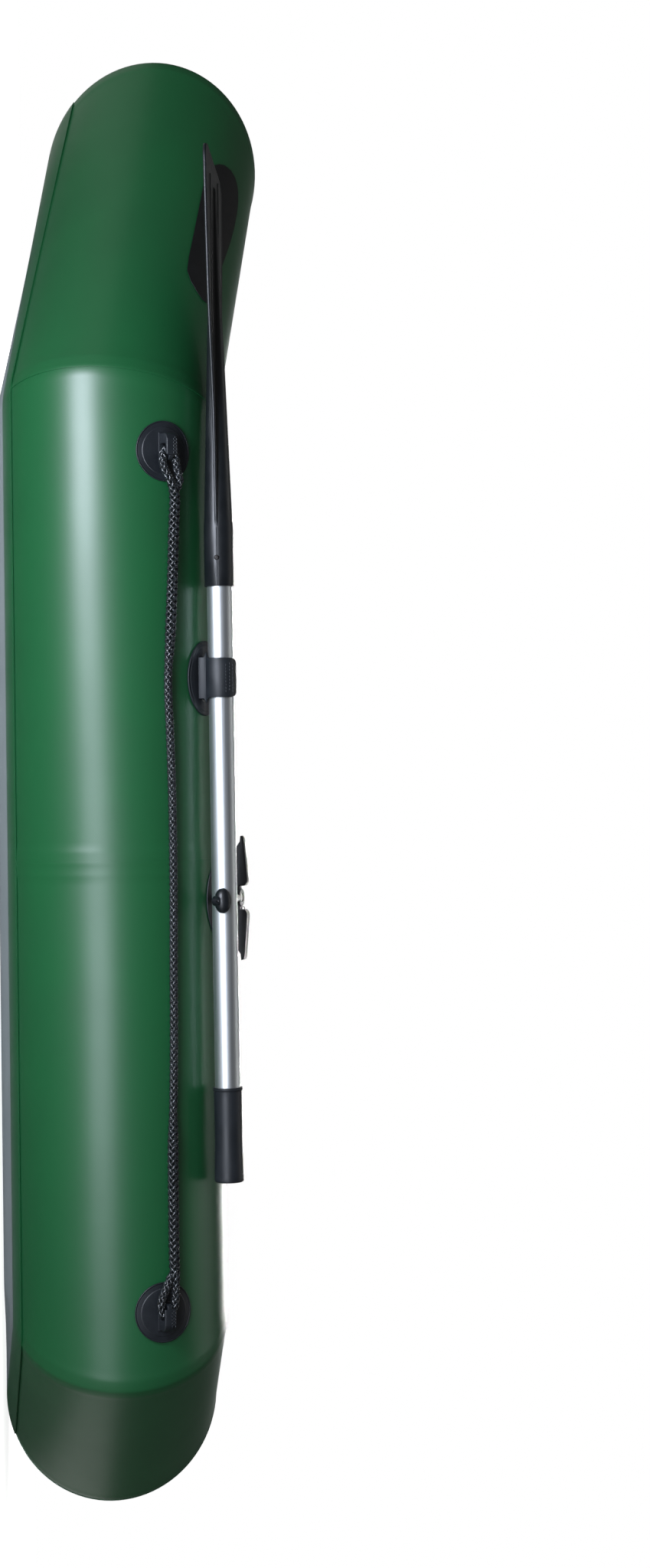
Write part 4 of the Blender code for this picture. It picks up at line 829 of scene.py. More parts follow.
# The hook flares into the boss at its foot, and its free end is cut round
shape = bmesh.new()
rings = []
hook_stations = [("foot", 0.0), ("foot", 0.35), ("foot", 0.7)] + [("arc", t / 28) for t in range(29)]
for kind, share in hook_stations:
    inner_turn = math.radians(-100 + 184 * share) if kind == "arc" else math.radians(-100)
    outer_turn = math.radians(-75 + 159 * share) if kind == "arc" else math.radians(-75)
    inner = clip_middle + Vector((0, hook_inner * math.cos(inner_turn), hook_inner * math.sin(inner_turn)))
    outer = clip_middle + Vector((0, hook_outer * math.cos(outer_turn), hook_outer * math.sin(outer_turn)))
    half = hook_half
    if kind == "foot":
        inner = on_tube(clip_x, math.radians(52), 0.004).lerp(inner, share)
        outer = on_tube(clip_x, math.radians(48), 0.004).lerp(outer, share)
        half += 0.0018
    else:
        flare = max(0.0, 1 - share / 0.17)
        half += 0.0065 * (1 - math.sqrt(max(0.0, 1 - flare ** 2))) + 0.0018 * flare
        close = max(0.0, (share - 0.70) / 0.30)
        half -= 0.0130 * (1 - math.sqrt(1 - min(close, 0.999) ** 2))
    skin = 0.0009
    across = (inner - outer).normalized()
    edge = half - skin
    corners = [(-half, outer, skin), (-edge, outer, 0), (0, outer, 0), (edge, outer, 0), (half, outer, skin),
               (half, inner, -skin), (edge, inner, 0), (0, inner, 0), (-edge, inner, 0),
               (-half, inner, -skin)]
    rings.append([Vector((clip_x + x, p.y, p.z)) + across * ease for x, p, ease in corners])
add_band(shape, rings)
fit_pair("clip_hook_", shape, rubber, "black_rubber", edge=0.0006, sharp=50)
ribs = add_ridges("hook_ribs_port", rubber, Matrix.Translation(clip_middle), "hull", "black_rubber", rows=3,
                  ridges=9,
                  pitch=0.0045, first_turn=math.radians(15), row_turn=math.radians(15), reach=hook_outer,
                  ridge_size=(0.0040, 0.0016, 0.0018))
carry_on(mirror_piece(ribs, "hook_ribs_starboard"), "hull")
# The same ribs stand on the bridges of the lifeline eyes, so flat that their rows turn round a far axis
far_axis = 0.100
upright = Matrix(((1, 0, 0, 0), (0, 0, -1, 0), (0, 1, 0, 0), (0, 0, 0, 1)))
for end, (x, angle, way) in eye_places.items():
    axes = on_pad(x, angle) @ Matrix.Translation((0.0065 * way, 0.0239 - far_axis, 0)) @ upright.transposed()
    ribs = add_ridges("eye_ribs_" + end + "_port", rubber, axes, "hull", "black_rubber", rows=3, ridges=5,
                      pitch=0.0045,
                      first_turn=math.pi / 2 + 0.018, row_turn=0.025, reach=far_axis,
                      ridge_size=(0.0038, 0.0014, 0.0018))
    carry_on(mirror_piece(ribs, "eye_ribs_" + end + "_starboard"), "hull")

# ---- Oarlocks ----------------------------------------------------------------------------------
# A soft PVC disc on the crown of the tube with two cheeks; a zinc-plated steel rocker in them, with
# a stud; and on the stud a black nylon yoke whose two wedges stop the oar and whose pin carries it.
lock_angle = math.radians(82.5)
lock_radius = 0.0725
lock_top = 0.0050
rocker_height = 0.0115

# Nylon from a satin mould: a broad soft highlight on black, with faint flow marks some 30 mm long
plastic, add, shader = new_finish("nylon, injection moulded satin black", "0F1216", 0.38)
uneven_skin(add, shader, 0.0035, 0.00001, 0.38, ("0B0E11", "13171B"))

# Bright zinc plating over turned steel: soft grey with cloudier, bluer patches
zinc, add, shader = new_finish("steel, zinc plated", "B4B7B9", 0.34, 1.0)
uneven_skin(add, shader, 0.0010, 0.00004, 0.33, ("A7ACB2", "C2C2BE"))

# These lay a turned piece's Z along X or along Y of the frame that it stands in
lay_x = Matrix(((0, 0, 1, 0), (1, 0, 0, 0), (0, 1, 0, 0), (0, 0, 0, 1)))
lay_y = Matrix(((0, 1, 0, 0), (0, 0, 1, 0), (1, 0, 0, 0), (0, 0, 0, 1)))


def rod(radius, start, end, ease=0.0):
    """The profile of a solid rod from start to end, with its ends eased."""
    if not ease:
        return [(0, start), (radius, start), (radius, end), (0, end)]
    return [(0, start), (radius - ease, start), (radius, start + ease), (radius, end - ease),
            (radius - ease, end),
            (0, end)]


shape = bmesh.new()
profile = [(r * lock_radius / 5, pad_under) for r in range(5)] + rolled_rim(lock_radius, 0.0024, 0.0007,
                                                                            0.0590)
profile += [(0.0575, 0.0026), (0.050, 0.0042), (0.0400, lock_top), (0.0270, lock_top), (0.0135, lock_top),
            (0, lock_top)]
add_turned(shape, profile, around_tube(pin_x, lock_angle), 96)
crown_axes = on_pad(pin_x, lock_angle) @ upright.transposed()
cheek = [(-0.0090, 0.0020), (0.0090, 0.0020), (0.0080, 0.0060)]
cheek += [(0.0055 * math.cos(a), rocker_height + 0.0055 * math.sin(a))
          for a in (math.pi * i / 14 for i in range(15))]
cheek.append((-0.0080, 0.0060))
for way in (-1, 1):
    add_plate(shape, cheek, 0.0060, (crown_axes @ Matrix.Translation((way * 0.0183, 0, 0)) @ lay_x))
bore = bmesh.new()
rocker_axes = crown_axes @ Matrix.Translation((0, 0, rocker_height)) @ lay_x
add_turned(bore, rod(0.0033, -0.025, 0.025), rocker_axes, 32)
fit_pair("oarlock_base_", shape, rubber, "black_rubber", edge=0.0008, cuts=[bore])

up = Vector((0, math.sin(math.radians(20)), math.cos(math.radians(20))))
swing_axes = axes_at(on_tube(pin_x, lock_angle, rocker_height), forward, up.cross(forward), up)
shape = bmesh.new()
add_turned(shape, [(0, -0.0210), (0.0027, -0.0210), (0.0030, -0.0207), (0.0030, -0.0150), (0.0057, -0.0150),
                   (0.0060, -0.0147), (0.0060, 0.0147), (0.0057, 0.0150), (0.0030, 0.0150), (0.0030, 0.0207),
                   (0.0027, 0.0210), (0, 0.0210)], rocker_axes, 48)
add_turned(shape,
           [(0, 0), (0.0035, 0), (0.0035, 0.0158), (0.0057, 0.0158), (0.0060, 0.0162), (0.0056, 0.0170),
                   (0.0040, 0.0176), (0, 0.0178)], swing_axes, 48)
fit_pair("oarlock_rocker_", shape, zinc, "steel")


oar = oar_axes()
wing_shares = [(1.0, 0.655), (0.985, 0.79), (0.93, 0.83), (0.62, 0.92), (0.30, 1.0), (0.255, 0.995),
               (0.215, 0.95),
               (0.19, 0.86), (0.19, 0.60), (0.10, 0.60), (0.10, 0.30), (0.50, 0.30), (0.83, 0.46),
               (0.90, 0.62)]
wing_length = 0.0880
wing_height = 0.0270
shape = bmesh.new()
for way in (1, -1):
    start = len(shape.faces)
    outline = [(way * x * wing_length, z * wing_height) for x, z in wing_shares]
    add_plate(shape, outline[::way], 0.0140, (swing_axes @ upright))
    ease_edges(shape, start, 0.0020)
add_turned(shape, [(0.0038, 0.0065), (0.0124, 0.0065), (0.0130, 0.0071), (0.0130, 0.0172), (0.0122, 0.0180),
                   (0.0063, 0.0180), (0.0063, 0.0155), (0.0038, 0.0155)], swing_axes, 64)
arm_start = swing_axes @ Vector((0, 0.0080, 0.0125))
arm_end = oar @ Vector((0, -0.0185, 0))
along = (arm_end - arm_start).normalized()
arm_axes = axes_at(arm_start, forward, along.cross(forward), along)
add_turned(shape, [(0, 0), (0.0060, 0), (0.0070, (arm_end - arm_start).length - 0.0006),
                   (0.0064, (arm_end - arm_start).length), (0, (arm_end - arm_start).length)], arm_axes, 48)
pin_axes = oar @ lay_y
add_turned(shape, rod(0.0045, -0.0205, 0.0220, 0.0006), pin_axes, 48)
# A small eye for a lanyard on the inner corner of the aft wedge
loop_axes = swing_axes @ Matrix.Translation((-0.0150, 0, 0.0195)) @ lay_y
wire = [(0.0022 + 0.0005 * math.cos(a), 0.0005 * math.sin(a)) for a in (math.pi * i / 5 for i in range(10))]
add_turned(shape, wire, loop_axes, 32)
fit_pair("oarlock_yoke_", shape, plastic, "black_plastic")

# ---- Oars --------------------------------------------------------------------------------------
# A drawn aluminium tube, anodised clear, with a soft grip pushed over its butt. The nylon blade's
# socket goes over the other end and is held by one screw. A knob on the yoke's pin keeps the oar on.
knob_face = 0.0178
shaft_radius = 0.0175
shaft_bore = 0.0160
shaft_butt, shaft_tip = -0.3840, 0.5000
shaft_ease = 0.0003
pin_hole_radius = 0.0048
screw_place = 0.473
screw_hole_radius = 0.0021
collar_radius = 0.0209
grip_start, grip_end = -0.2590, -0.3900

# Drawn tube: fine lines along it, 0.4 mm apart round the shaft and hundreds of millimetres long
anodised, add, shader = new_finish("aluminium tube, drawn and clear anodised", "D3D8DB", 0.34, 1.0)
place = add("ShaderNodeTexCoord")
drawn = add("ShaderNodeMapping", ("Vector", place.outputs["Object"]), ("Scale", (4.0, 2500.0, 2500.0)))
lines = add("ShaderNodeTexNoise", ("Vector", drawn), ("Scale", 1.0), ("Detail", 2.0))
shine = add("ShaderNodeMapRange", ("Value", lines), ("From Min", 0.3), ("From Max", 0.7), ("To Min", 0.38),
            ("To Max", 0.50))
feed(shader, ("Roughness", shine))
cloud = add("ShaderNodeTexNoise", ("Vector", place.outputs["Object"]), ("Scale", 14.0), ("Detail", 4.0))
tone = add("ShaderNodeMix", ("Factor", cloud), (6, linear("CDD3D7")), (7, linear("D9DCDC")), data_type="RGBA")
feed(shader, ("Base Color", tone.outputs[2]))
bump = add("ShaderNodeBump", ("Strength", 0.12), ("Distance", 0.00005), ("Height", lines))
feed(shader, ("Normal", bump))

shape = bmesh.new()
dome = [(0, 0), (0.97, 0), (1.0, 0.03)] + [(math.cos(a), 0.03 + 0.97 * math.sin(a)) for a in
                                            (math.pi / 2 * i / 12 for i in range(1, 12))] + [(0, 1.0)]
add_turned(shape, dome, lambda p: oar @ Vector((p.x * 0.0176, knob_face + p.z * 0.0105, p.y * 0.0116)), 64)
tab_axes = oar @ Matrix.Translation((0, knob_face + 0.0075, 0)) @ Matrix.Rotation(math.radians(152), 4, "X")
add_turned(shape, rod(0.0070, 0, 0.0142, 0.0022), tab_axes, 48)
bore, back, dimple = bmesh.new(), bmesh.new(), bmesh.new()
add_turned(bore, rod(pin_hole_radius, 0.0100, 0.0225), pin_axes, 32)
add_plate(back, [(-0.022, -0.022), (0.022, -0.022), (0.022, 0.022), (-0.022, 0.022)], 0.020,
          (oar @ Matrix.Translation((0, knob_face - 0.010, 0)) @ lay_y))
add_turned(dimple, rod(0.0016, 0.0245, 0.0320), (oar @ Matrix.Translation((0, 0, -0.0055)) @ lay_y), 24)
fit_pair("oar_knob_", shape, plastic, "black_plastic", cuts=[back, bore, dimple])

shaft_axes = oar @ lay_x
shape, pin_hole, screw_hole = bmesh.new(), bmesh.new(), bmesh.new()
add_turned(shape,
           [(shaft_bore, shaft_butt), (shaft_radius - shaft_ease, shaft_butt),
            (shaft_radius, shaft_butt + shaft_ease),
                   (shaft_radius, shaft_tip - shaft_ease), (shaft_radius - shaft_ease, shaft_tip),
            (shaft_bore, shaft_tip)],
           shaft_axes, 96)
add_turned(pin_hole, rod(pin_hole_radius, -0.0215, 0.0215), pin_axes, 32)
screw_axes = oar @ Matrix.Translation((screw_place, 0, 0)) @ lay_y
add_turned(screw_hole, rod(screw_hole_radius, 0, 0.0244), screw_axes, 24)
fit_pair("oar_shaft_", shape, anodised, "aluminium", cuts=[pin_hole, screw_hole])

# The grip: a collar against the shaft, a slight waist, and a rounded end
shape = bmesh.new()
waist = []
for i in range(17):
    share = i / 16
    radius = 0.0196 - 0.0004 * math.sin(math.pi * share)
    if share >= 0.5:
        radius = 0.0192 + 0.0011 * (3 * (2 * share - 1) ** 2 - 2 * (2 * share - 1) ** 3)
    waist.append((radius, grip_start - 0.0056 - 0.1184 * share))
end_round = [(0.0173 + 0.0030 * math.cos(a), grip_end + 0.0030 - 0.0030 * math.sin(a))
             for a in (math.pi / 2 * i / 5 for i in range(6))]
add_turned(shape, [(0, shaft_butt - shaft_ease), (shaft_radius + 0.0003, shaft_butt - shaft_ease),
                   (shaft_radius + 0.0003, grip_start), (collar_radius - 0.0006, grip_start),
                   (collar_radius, grip_start - 0.0007), (collar_radius, grip_start - 0.0033),
                   (collar_radius - 0.0006, grip_start - 0.0042), (0.0198, grip_start - 0.0046)]
           + waist + end_round + [(0, grip_end)], shaft_axes)
fit_pair("oar_grip_", shape, rubber, "black_rubber")

# The blade: a thin plate with a rolled rim, two ribs and a spine that runs out of the socket
blade_root, blade_tip = 0.500, 1.041
blade_half = 0.072
tip_set_back = 0.040
tip_round = 0.030
blade_shares = [(0.0, 0.20), (0.043, 0.30), (0.20, 0.34), (0.345, 0.385), (0.43, 0.50), (0.50, 0.625),
                (0.62, 0.78), (0.76, 0.89), (0.90, 0.965), (1.0, 1.0)]
tip_shares = [(1.0, 1.0), (0.66, 0.99), (0.35, 0.95), (0.18, 0.89), (0.07, 0.80), (0.02, 0.72), (0.0, 0.66)]
plate_half = 0.0017
rim_radius = 0.0024
rim_offsets = (0.0, 0.0001, 0.0004, 0.0009, 0.0017, 0.0026, 0.0036, 0.0046, 0.0056)


def between(pairs, at):
    """The value at a place, from pairs in order, joined by straight lines."""
    for (x0, y0), (x1, y1) in zip(pairs, pairs[1:]):
        if x0 <= at <= x1:
            return y0 + (y1 - y0) * (at - x0) / (x1 - x0)
    return pairs[-1][1]


def blade_half_height(rim):
    """Half the blade's thickness at a distance from its edge: a round bead that thins to the plate."""
    if rim < rim_radius:
        return math.sqrt(max(0.0, rim_radius ** 2 - (rim_radius - rim) ** 2))
    share = min(1.0, (rim - rim_radius) / 0.003)
    return rim_radius + (plate_half - rim_radius) * (3 * share ** 2 - 2 * share ** 3)


length = blade_tip - blade_root
columns = 18
grid = [(blade_half * between(blade_shares, i / 40 * (length - tip_round) / length), 1.0, i / 40)
        for i in range(41)]
grid += [(blade_half * share, depth, 1.0) for depth, share in tip_shares[1:]]
shape = bmesh.new()
sheets = {1: [], -1: []}
for width, depth, share in grid:
    across = [-width + o for o in rim_offsets]
    inner = width - rim_offsets[-1]
    across += [-inner + 2 * inner * c / columns for c in range(1, columns)]
    across += [width - o for o in reversed(rim_offsets)]
    line = {1: [], -1: []}
    for y in across:
        tip = blade_tip - tip_set_back * (1 - y / blade_half) / 2
        x = blade_root + share * (tip - tip_round - blade_root) + (1 - depth) * tip_round
        rim = min(width - abs(y), depth * tip_round if share == 1.0 else width)
        for face in (1, -1):
            line[face].append(shape.verts.new(oar @ Vector((x, y, face * blade_half_height(max(0.0, rim))))))
    for face in (1, -1):
        sheets[face].append(line[face])
for face in (1, -1):
    for low, high in zip(sheets[face], sheets[face][1:]):
        for a, b, c, d in zip(low, low[1:], high[1:], high):
            shape.faces.new((a, b, c, d)[::face])
root = [sheets[1][0], sheets[-1][0]]
for a, b, c, d in zip(root[0], root[0][1:], root[1][1:], root[1]):
    shape.faces.new((d, c, b, a))
bmesh.ops.remove_doubles(shape, verts=shape.verts, dist=0.00001)
socket = [(0, 0.5003), (0.0178, 0.5003), (0.0178, 0.4340), (0.0200, 0.4340), (0.0204, 0.4344),
          (0.0204, 0.5110),
          (0.0202, 0.5160), (0.0196, 0.5250), (0.0046, 0.9780), (0.0040, 0.9830), (0.0025, 0.9860),
          (0, 0.9870)]
add_turned(shape, socket, shaft_axes)
for way in (-1, 1):
    rib_axes = oar @ Matrix.Translation((0, way * 0.034, 0)) @ lay_x
    bead = [(0.0030 * math.cos(a), 0.9970 + 0.0030 * math.sin(a))
            for a in (math.pi / 2 * i / 5 for i in range(6))]
    add_turned(shape, [(0, 0.7700), (0.0016, 0.7740), (0.0030, 0.7860)] + bead[:-1] + [(0, 1.0000)], rib_axes,
               24)
# The mould's parting line along the socket
line_axes = oar @ Matrix.Translation((0, 0.0202, 0)) @ lay_x
add_turned(shape, rod(0.0005, 0.4345, 0.5150), line_axes, 8)
head_hole = bmesh.new()
add_turned(head_hole, rod(0.0038, 0.0196, 0.0236), screw_axes, 32)
screw_hole = bmesh.new()
add_turned(screw_hole, rod(screw_hole_radius, 0.0100, 0.0244), screw_axes, 24)
fit_pair("oar_blade_", shape, plastic, "black_plastic", cuts=[head_hole, screw_hole], sharp=45)

shape, slots = bmesh.new(), []
add_turned(shape,
           [(0, 0.0169), (0.0018, 0.0169), (0.0018, 0.0199), (0.0035, 0.0199), (0.0035, 0.0205),
            (0.0031, 0.0211),
                   (0.0020, 0.0215), (0, 0.0216)], screw_axes, 48)
for size in ((0.0019, 0.0004), (0.0004, 0.0019)):
    slot_cut = bmesh.new()
    add_plate(slot_cut, [(-size[0], -size[1]), (size[0], -size[1]), (size[0], size[1]), (-size[0], size[1])],
              0.0020,
              (screw_axes @ Matrix.Translation((0, 0, 0.0217))))
    slots.append(slot_cut)
# Black oxide over steel: a dark, slightly brown sheen that wears paler in patches
black_oxide, add, shader = new_finish("steel, black oxide", "2B2B2C", 0.40, 1.0)
uneven_skin(add, shader, 0.0008, 0.00003, 0.40, ("232324", "353331"))
fit_pair("blade_screw_", shape, black_oxide, "steel", cuts=slots)

# ---- Seats -------------------------------------------------------------------------------------
# Two benches of varnished birch plywood, 12 mm thick, on aluminium tracks that slide along soft PVC
# bolt-rope rails glued inside the side tubes.
rail_angle = math.radians(128)
rail_height = 0.0100
rail_bead = 0.0040
track_inner = 0.0044
track_outer = 0.0062
seat_width = 0.200
seat_thick = 0.0120
seat_rears = {"front": 0.150, "rear": -0.560}


def rail_point(across, height):
    """A point of the rail's section: across the tube's surface and out from it, as (y, z)."""
    base = on_tube(0, rail_angle, height)
    return base + Vector((0, -across * math.sin(rail_angle), across * math.cos(rail_angle)))


def along_boat(section, start, end):
    """The section's rings from start to end along X."""
    return [[Vector((x, p.y, p.z)) for p in section] for x in (start, end)]


section = [on_tube(0, rail_angle + 0.1 * (1 - 2 * i / 8), pad_under) for i in range(9)]
section += [on_tube(0, rail_angle - 0.1, 0.0016), on_tube(0, rail_angle - 0.094, 0.0020)]
neck_turn = math.asin(0.0010 / rail_bead)
section.append(rail_point(-0.0010, 0.0020))
for i in range(25):
    turn = -math.pi / 2 - neck_turn - (2 * math.pi - 2 * neck_turn) * i / 24
    section.append(rail_point(rail_bead * math.cos(turn), rail_height + rail_bead * math.sin(turn)))
section += [rail_point(0.0010, 0.0020), on_tube(0, rail_angle + 0.094, 0.0020),
            on_tube(0, rail_angle + 0.1, 0.0016)]
shape = bmesh.new()
add_band(shape, along_boat(section, -0.650, 0.450))
fit_pair("seat_rail_", shape, rubber, "black_rubber", sharp=30)

# Birch: grain along the bench in bands of 5 to 15 mm, short dark pores, and clear varnish on top
ply, add, shader = new_finish("birch plywood, clear varnished", "C79F68", 0.40)
feed(shader, ("Coat Weight", 0.7), ("Coat Roughness", 0.16))
place = add("ShaderNodeTexCoord")
stretch = add("ShaderNodeMapping", ("Vector", place.outputs["Object"]), ("Scale", (1.0, 0.09, 1.0)))
bands = add("ShaderNodeTexNoise", ("Vector", stretch), ("Scale", 55.0), ("Detail", 5.0), ("Distortion", 0.6))
fibres = add("ShaderNodeTexNoise", ("Vector", stretch), ("Scale", 900.0), ("Detail", 2.0))
board_tone = add("ShaderNodeValToRGB", ("Fac", bands))
board_tone.color_ramp.elements[0].position = 0.35
board_tone.color_ramp.elements[0].color = linear("B58A55")
board_tone.color_ramp.elements[1].position = 0.68
board_tone.color_ramp.elements[1].color = linear("D9B781")
pores = add("ShaderNodeMapRange", ("Value", fibres), ("From Min", 0.36), ("From Max", 0.50), ("To Min", 0.62),
            ("To Max", 1.0))
face = add("ShaderNodeMix", ("Factor", 1.0), (6, board_tone), (7, pores), data_type="RGBA",
           blend_type="MULTIPLY")
# The edge shows nine veneers of 1.3 mm, end grain and long grain in turn
depth = add("ShaderNodeSeparateXYZ", ("Vector", place.outputs["Object"]))
layer = add("ShaderNodeMath", depth.outputs["Z"], 2 * math.pi / 0.00267, operation="MULTIPLY")
layers = add("ShaderNodeMath", layer, operation="SINE")
layer_side = add("ShaderNodeMapRange", ("Value", layers), ("From Min", -0.2), ("From Max", 0.2))
edge_tone = add("ShaderNodeMix", ("Factor", layer_side), (6, linear("8E6637")), (7, linear("CBA56D")),
                data_type="RGBA")
facing = add("ShaderNodeNewGeometry")
upward = add("ShaderNodeSeparateXYZ", ("Vector", facing.outputs["True Normal"]))
flat_face = add("ShaderNodeMath", upward.outputs["Z"], operation="ABSOLUTE")
on_face = add("ShaderNodeMapRange", ("Value", flat_face), ("From Min", 0.55), ("From Max", 0.75))
wood = add("ShaderNodeMix", ("Factor", on_face), (6, edge_tone.outputs[2]), (7, face.outputs[2]),
           data_type="RGBA")
feed(shader, ("Base Color", wood.outputs[2]))
bump = add("ShaderNodeBump", ("Strength", 0.12), ("Distance", 0.0001), ("Height", fibres))
feed(shader, ("Normal", bump))

track_middle = rail_point(0, rail_height)
slot_half = 0.0021
for name, rear in seat_rears.items():
    section = []
    for radius, way in ((track_outer, 1), (track_inner, -1)):
        open_turn = math.asin(slot_half / radius)
        for i in range(25):
            share = i / 24 if way > 0 else 1 - i / 24
            turn = -math.pi / 2 + open_turn + (2 * math.pi - 2 * open_turn) * share
            section.append(rail_point(radius * math.cos(turn), rail_height + radius * math.sin(turn)))
    shape = bmesh.new()
    add_band(shape, along_boat(section, rear, rear + seat_width))
    top = track_middle.z + track_outer
    flange = [Vector((0, track_middle.y - 0.044, top - 0.0020)), Vector((0, track_middle.y, top - 0.0017)),
              Vector((0, track_middle.y, top)), Vector((0, track_middle.y - 0.044, top))]
    add_band(shape, along_boat(flange, rear, rear + seat_width))
    fit_pair("seat_track_" + name + "_", shape, anodised, "aluminium", sharp=30)
    half, reach, corner = seat_width / 2, track_middle.y + 0.0035, 0.030
    outline = []
    for x_way, y_way, first in ((1, 1, 0), (-1, 1, 90), (-1, -1, 180), (1, -1, 270)):
        for i in range(9):
            turn = math.radians(first + 90 * i / 8)
            outline.append((x_way * (half - corner) + corner * math.cos(turn),
                            y_way * (reach - corner) + corner * math.sin(turn)))
    shape = bmesh.new()
    board_axes = Matrix.Translation((rear + half, 0, top + 0.0003 + seat_thick / 2))
    add_plate(shape, outline, seat_thick, board_axes)
    fit_piece("seat_board_" + name, shape, ply, "plywood", edge=0.0020, sharp=30)

# ---- Air valves --------------------------------------------------------------------------------
# Screw-in nylon valves in the starboard tube, one for each chamber: a flanged body welded into the
# cloth, a sprung grey stem that lets air out when pushed, and a knurled cap.
grey_plastic, add, shader = new_finish("nylon, injection moulded grey", "9A9E9F", 0.42)
uneven_skin(add, shader, 0.0030, 0.00005, 0.40, ("929698", "A4A7A6"))
for end, x in valve_places.items():
    axes = valve_axes(x)
    shape = bmesh.new()
    add_turned(shape,
               [(0.0120, -0.0240), (0.0164, -0.0240), (0.0170, -0.0234), (0.0170, 0.0005), (0.0290, 0.0005),
                       (0.0290, 0.0024), (0.0286, 0.0031), (0.0278, 0.0035), (0.0205, 0.0035),
                (0.0205, 0.0088),
                       (0.0199, 0.0094), (0.0126, 0.0094), (0.0120, 0.0088), (0.0120, -0.0095),
                (0.0033, -0.0095),
                       (0.0033, -0.0120), (0.0120, -0.0120)], axes, 64)
    fit_piece("valve_body_" + end, shape, plastic, "black_plastic")
    shape = bmesh.new()
    add_turned(shape,
               [(0, -0.0146), (0.0096, -0.0146), (0.0100, -0.0142), (0.0100, -0.0123), (0.0030, -0.0123),
                       (0.0030, 0.0014), (0.0024, 0.0020), (0, 0.0020)], axes, 48)
    fit_piece("valve_stem_" + end, shape, grey_plastic, "grey_plastic")
    shape = bmesh.new()
    add_turned(shape, [(0, 0.0098), (0.0209, 0.0098), (0.0209, 0.0038), (0.0232, 0.0038), (0.0235, 0.0041),
                       (0.0235, 0.0116), (0.0231, 0.0124), (0.0222, 0.0128), (0.0160, 0.0128),
                       (0.0152, 0.0123),
                       (0.0080, 0.0123), (0, 0.0123)], axes, 64)
    fit_piece("valve_cap_" + end, shape, plastic, "black_plastic")
    add_ridges("cap_knurl_" + end, plastic, axes @ Matrix.Translation((0, 0, 0.0080)) @ lay_y,
               "valve_cap_" + end, "black_plastic", rows=30, ridges=1, pitch=0.0, first_turn=0.0,
               row_turn=2 * math.pi / 30, reach=0.0235, ridge_size=(0.0070, 0.0020, 0.0018))

# ---- Bow patches -------------------------------------------------------------------------------
# A bare black patch of thin coated cloth glued on each bow quarter, a four-sided leaf with round
# corners, left without any print.
patch_edges = [(0.287, 44.0, 47.5), (0.300, 39.0, 48.8), (0.320, 34.2, 50.0), (0.345, 31.0, 51.3),
               (0.390, 30.6, 53.0),
               (0.435, 31.0, 54.6), (0.500, 31.4, 57.0), (0.560, 31.8, 59.3), (0.620, 32.1, 60.8),
               (0.675, 32.6, 61.4),
               (0.705, 34.0, 61.2), (0.730, 36.4, 60.4), (0.752, 40.0, 59.0), (0.768, 44.0, 57.0),
               (0.778, 49.0, 54.0)]
patch_film, add, shader = new_finish("PVC coated cloth, matt black", "121314", 0.50)
uneven_skin(add, shader, 0.0011, 0.00012, 0.48, ("0B0C0D", "131415"))
patch_columns = 12
rings = []
for share, low, high in patch_edges:
    ring = []
    for i in range(patch_columns + 1):
        corners = thread_corners(math.radians(low + (high - low) * i / patch_columns), 0.0008)
        ring.append(thread_point(corners, 3, share, 0))
    rings.append(ring)
patch = loft("bow_patch_port", rings, lambda r, k: (k * 0.006, patch_edges[r][0] * 0.55), patch_film,
             closed=False)
patch.data.flip_normals()
give_wall(patch, 0.0008, -1.0)
apply_modifiers(patch)
for obj in (patch, mirror_piece(patch, "bow_patch_starboard")):
    carry_on(obj, "hull")

# ---- Studio ------------------------------------------------------------------------------------
# A pale floor, a white backdrop, a low strip lamp on the port side that draws the long highlight
# under the middle of the tube, a weak lamp overhead, and a soft fill all round.
floor_mesh = bpy.data.meshes.new("studio_floor")
floor_mesh.from_pydata([(-12, -12, 0), (12, -12, 0), (12, 12, 0), (-12, 12, 0)], [], [(0, 1, 2, 3)])
paper, add, shader = new_finish("paper sweep, white", "E4E4E2", 0.9)
rays = add("ShaderNodeLightPath")
straight = add("ShaderNodeMath", rays.outputs["Is Camera Ray"], rays.outputs["Is Transmission Ray"],
               operation="MAXIMUM")
mirrored = add("ShaderNodeMath", rays.outputs["Is Glossy Ray"], 0.02, operation="MULTIPLY")
glow = add("ShaderNodeMath", straight, 0.84, mirrored, operation="MULTIPLY_ADD")
feed(shader, ("Emission Color", (1, 1, 1, 1)), ("Emission Strength", glow))
studio_floor = add_piece("studio_floor", floor_mesh, paper)
studio_floor.visible_shadow = False

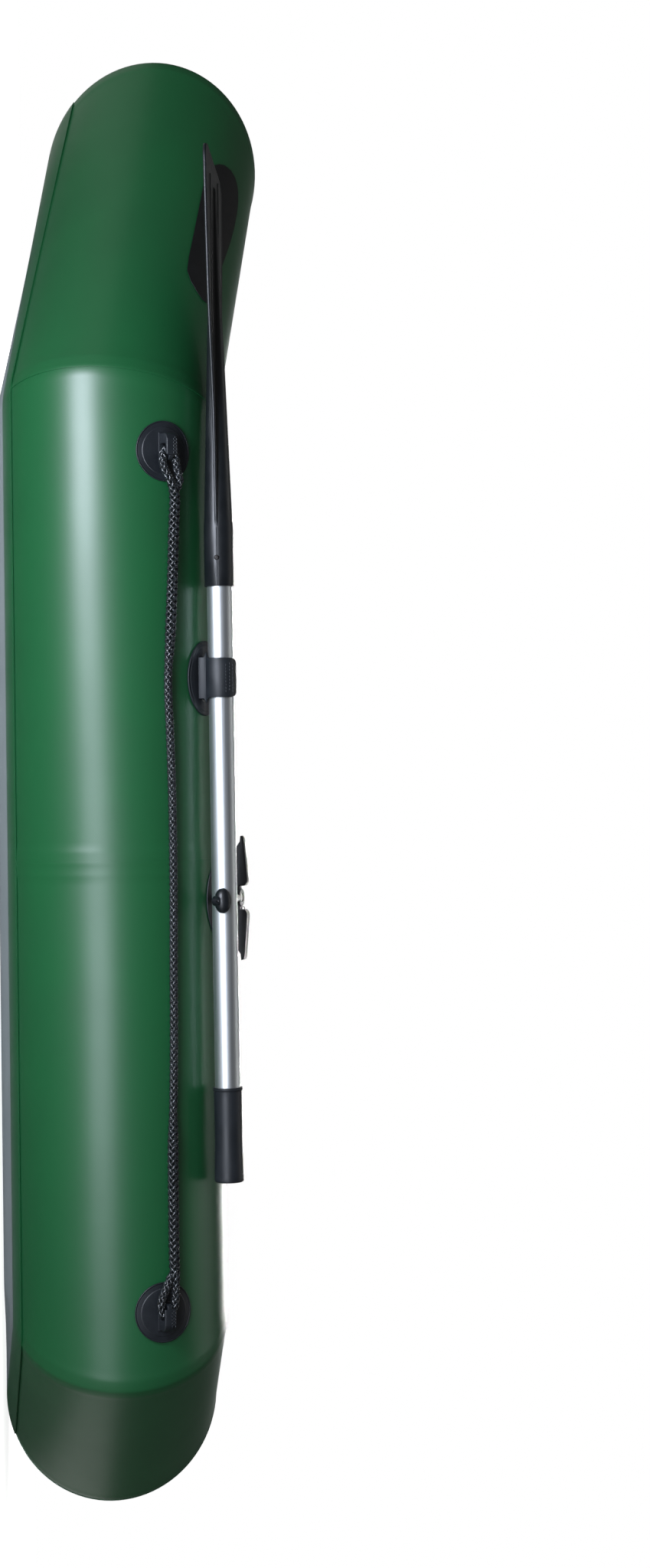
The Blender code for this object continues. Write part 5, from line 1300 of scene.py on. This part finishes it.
world = bpy.data.worlds.new("studio")
bpy.context.scene.world = world
world.use_nodes = True
world.node_tree.nodes.clear()
add = partial(add_node, world.node_tree)
rays = add("ShaderNodeLightPath")
straight = add("ShaderNodeMath", rays.outputs["Is Camera Ray"], rays.outputs["Is Transmission Ray"],
               operation="MAXIMUM")
sky = add("ShaderNodeTexCoord")
way = add("ShaderNodeSeparateXYZ", ("Vector", sky.outputs["Generated"]))
backdrop = add("ShaderNodeMapRange", ("Value", way.outputs["Y"]), ("From Min", -1.0), ("From Max", -0.85),
               ("To Min", 0.15), ("To Max", 0.05))
mirror = add("ShaderNodeMix", (0, rays.outputs["Is Glossy Ray"]), (2, 0.245), (3, backdrop),
             data_type="FLOAT")
level = add("ShaderNodeMix", (0, straight), (2, mirror), (3, 1.0), data_type="FLOAT")
background = add("ShaderNodeBackground", ("Color", (1, 1, 1, 1)), ("Strength", level))
add("ShaderNodeOutputWorld", ("Surface", background))


def add_lamp(name, place, target, size, power, colour="FFFFFF"):
    """A rectangular soft lamp at a place, turned to a target; its long side lies along the boat."""
    lamp = bpy.data.lights.new(name, "AREA")
    lamp.shape = "RECTANGLE"
    lamp.size, lamp.size_y = size
    lamp.energy = power
    lamp.color = linear(colour)[:3]
    lamp.cycles.use_multiple_importance_sampling = False
    obj = bpy.data.objects.new(name, lamp)
    back = (Vector(place) - Vector(target)).normalized()
    up = back.cross(forward).normalized()
    obj.matrix_world = axes_at(place, up.cross(back), up, back)
    obj.visible_camera = False
    bpy.context.scene.collection.objects.link(obj)
    return obj


add_lamp("low_strip_bow", (0.75, 1.75, -0.64), (0.62, 0.53, 0.12), (0.60, 0.56), 34, "E9F0FF")
add_lamp("low_strip_front", (0.20, 1.75, -0.45), (0.15, 0.53, 0.12), (0.60, 0.56), 8, "E9F0FF")
add_lamp("low_strip_rear", (-0.35, 1.75, -0.30), (-0.30, 0.53, 0.12), (0.60, 0.56), 8, "E9F0FF")
add_lamp("low_strip_stern", (-0.90, 1.75, -0.28), (-0.70, 0.53, 0.12), (0.60, 0.56), 2.8, "E9F0FF")
add_lamp("overhead", (0.0, 0.0, 3.0), (0.0, 0.0, 0.2), (3.0, 1.6), 11)
add_lamp("starboard_fill", (-0.4, -3.6, 1.8), (0.0, -0.3, 0.2), (2.4, 1.6), 110)

# The photograph's viewpoint: a long lens 4.3 m out on the port side, turned on its side
camera = bpy.data.cameras.new("camera")
camera.sensor_width = 36
camera.lens = 63.524
viewer = bpy.data.objects.new("camera", camera)
right = Vector((-0.011367, 0.104227, 0.994489))
up = Vector((0.999933, -0.001080, 0.011543))
back = Vector((0.002278, 0.994553, -0.104208))
viewer.matrix_world = axes_at((0.00099, 4.31176, 0.05258), right, up, back)
bpy.context.scene.collection.objects.link(viewer)
bpy.context.scene.camera = viewer
bpy.context.scene.view_settings.view_transform = "Standard"
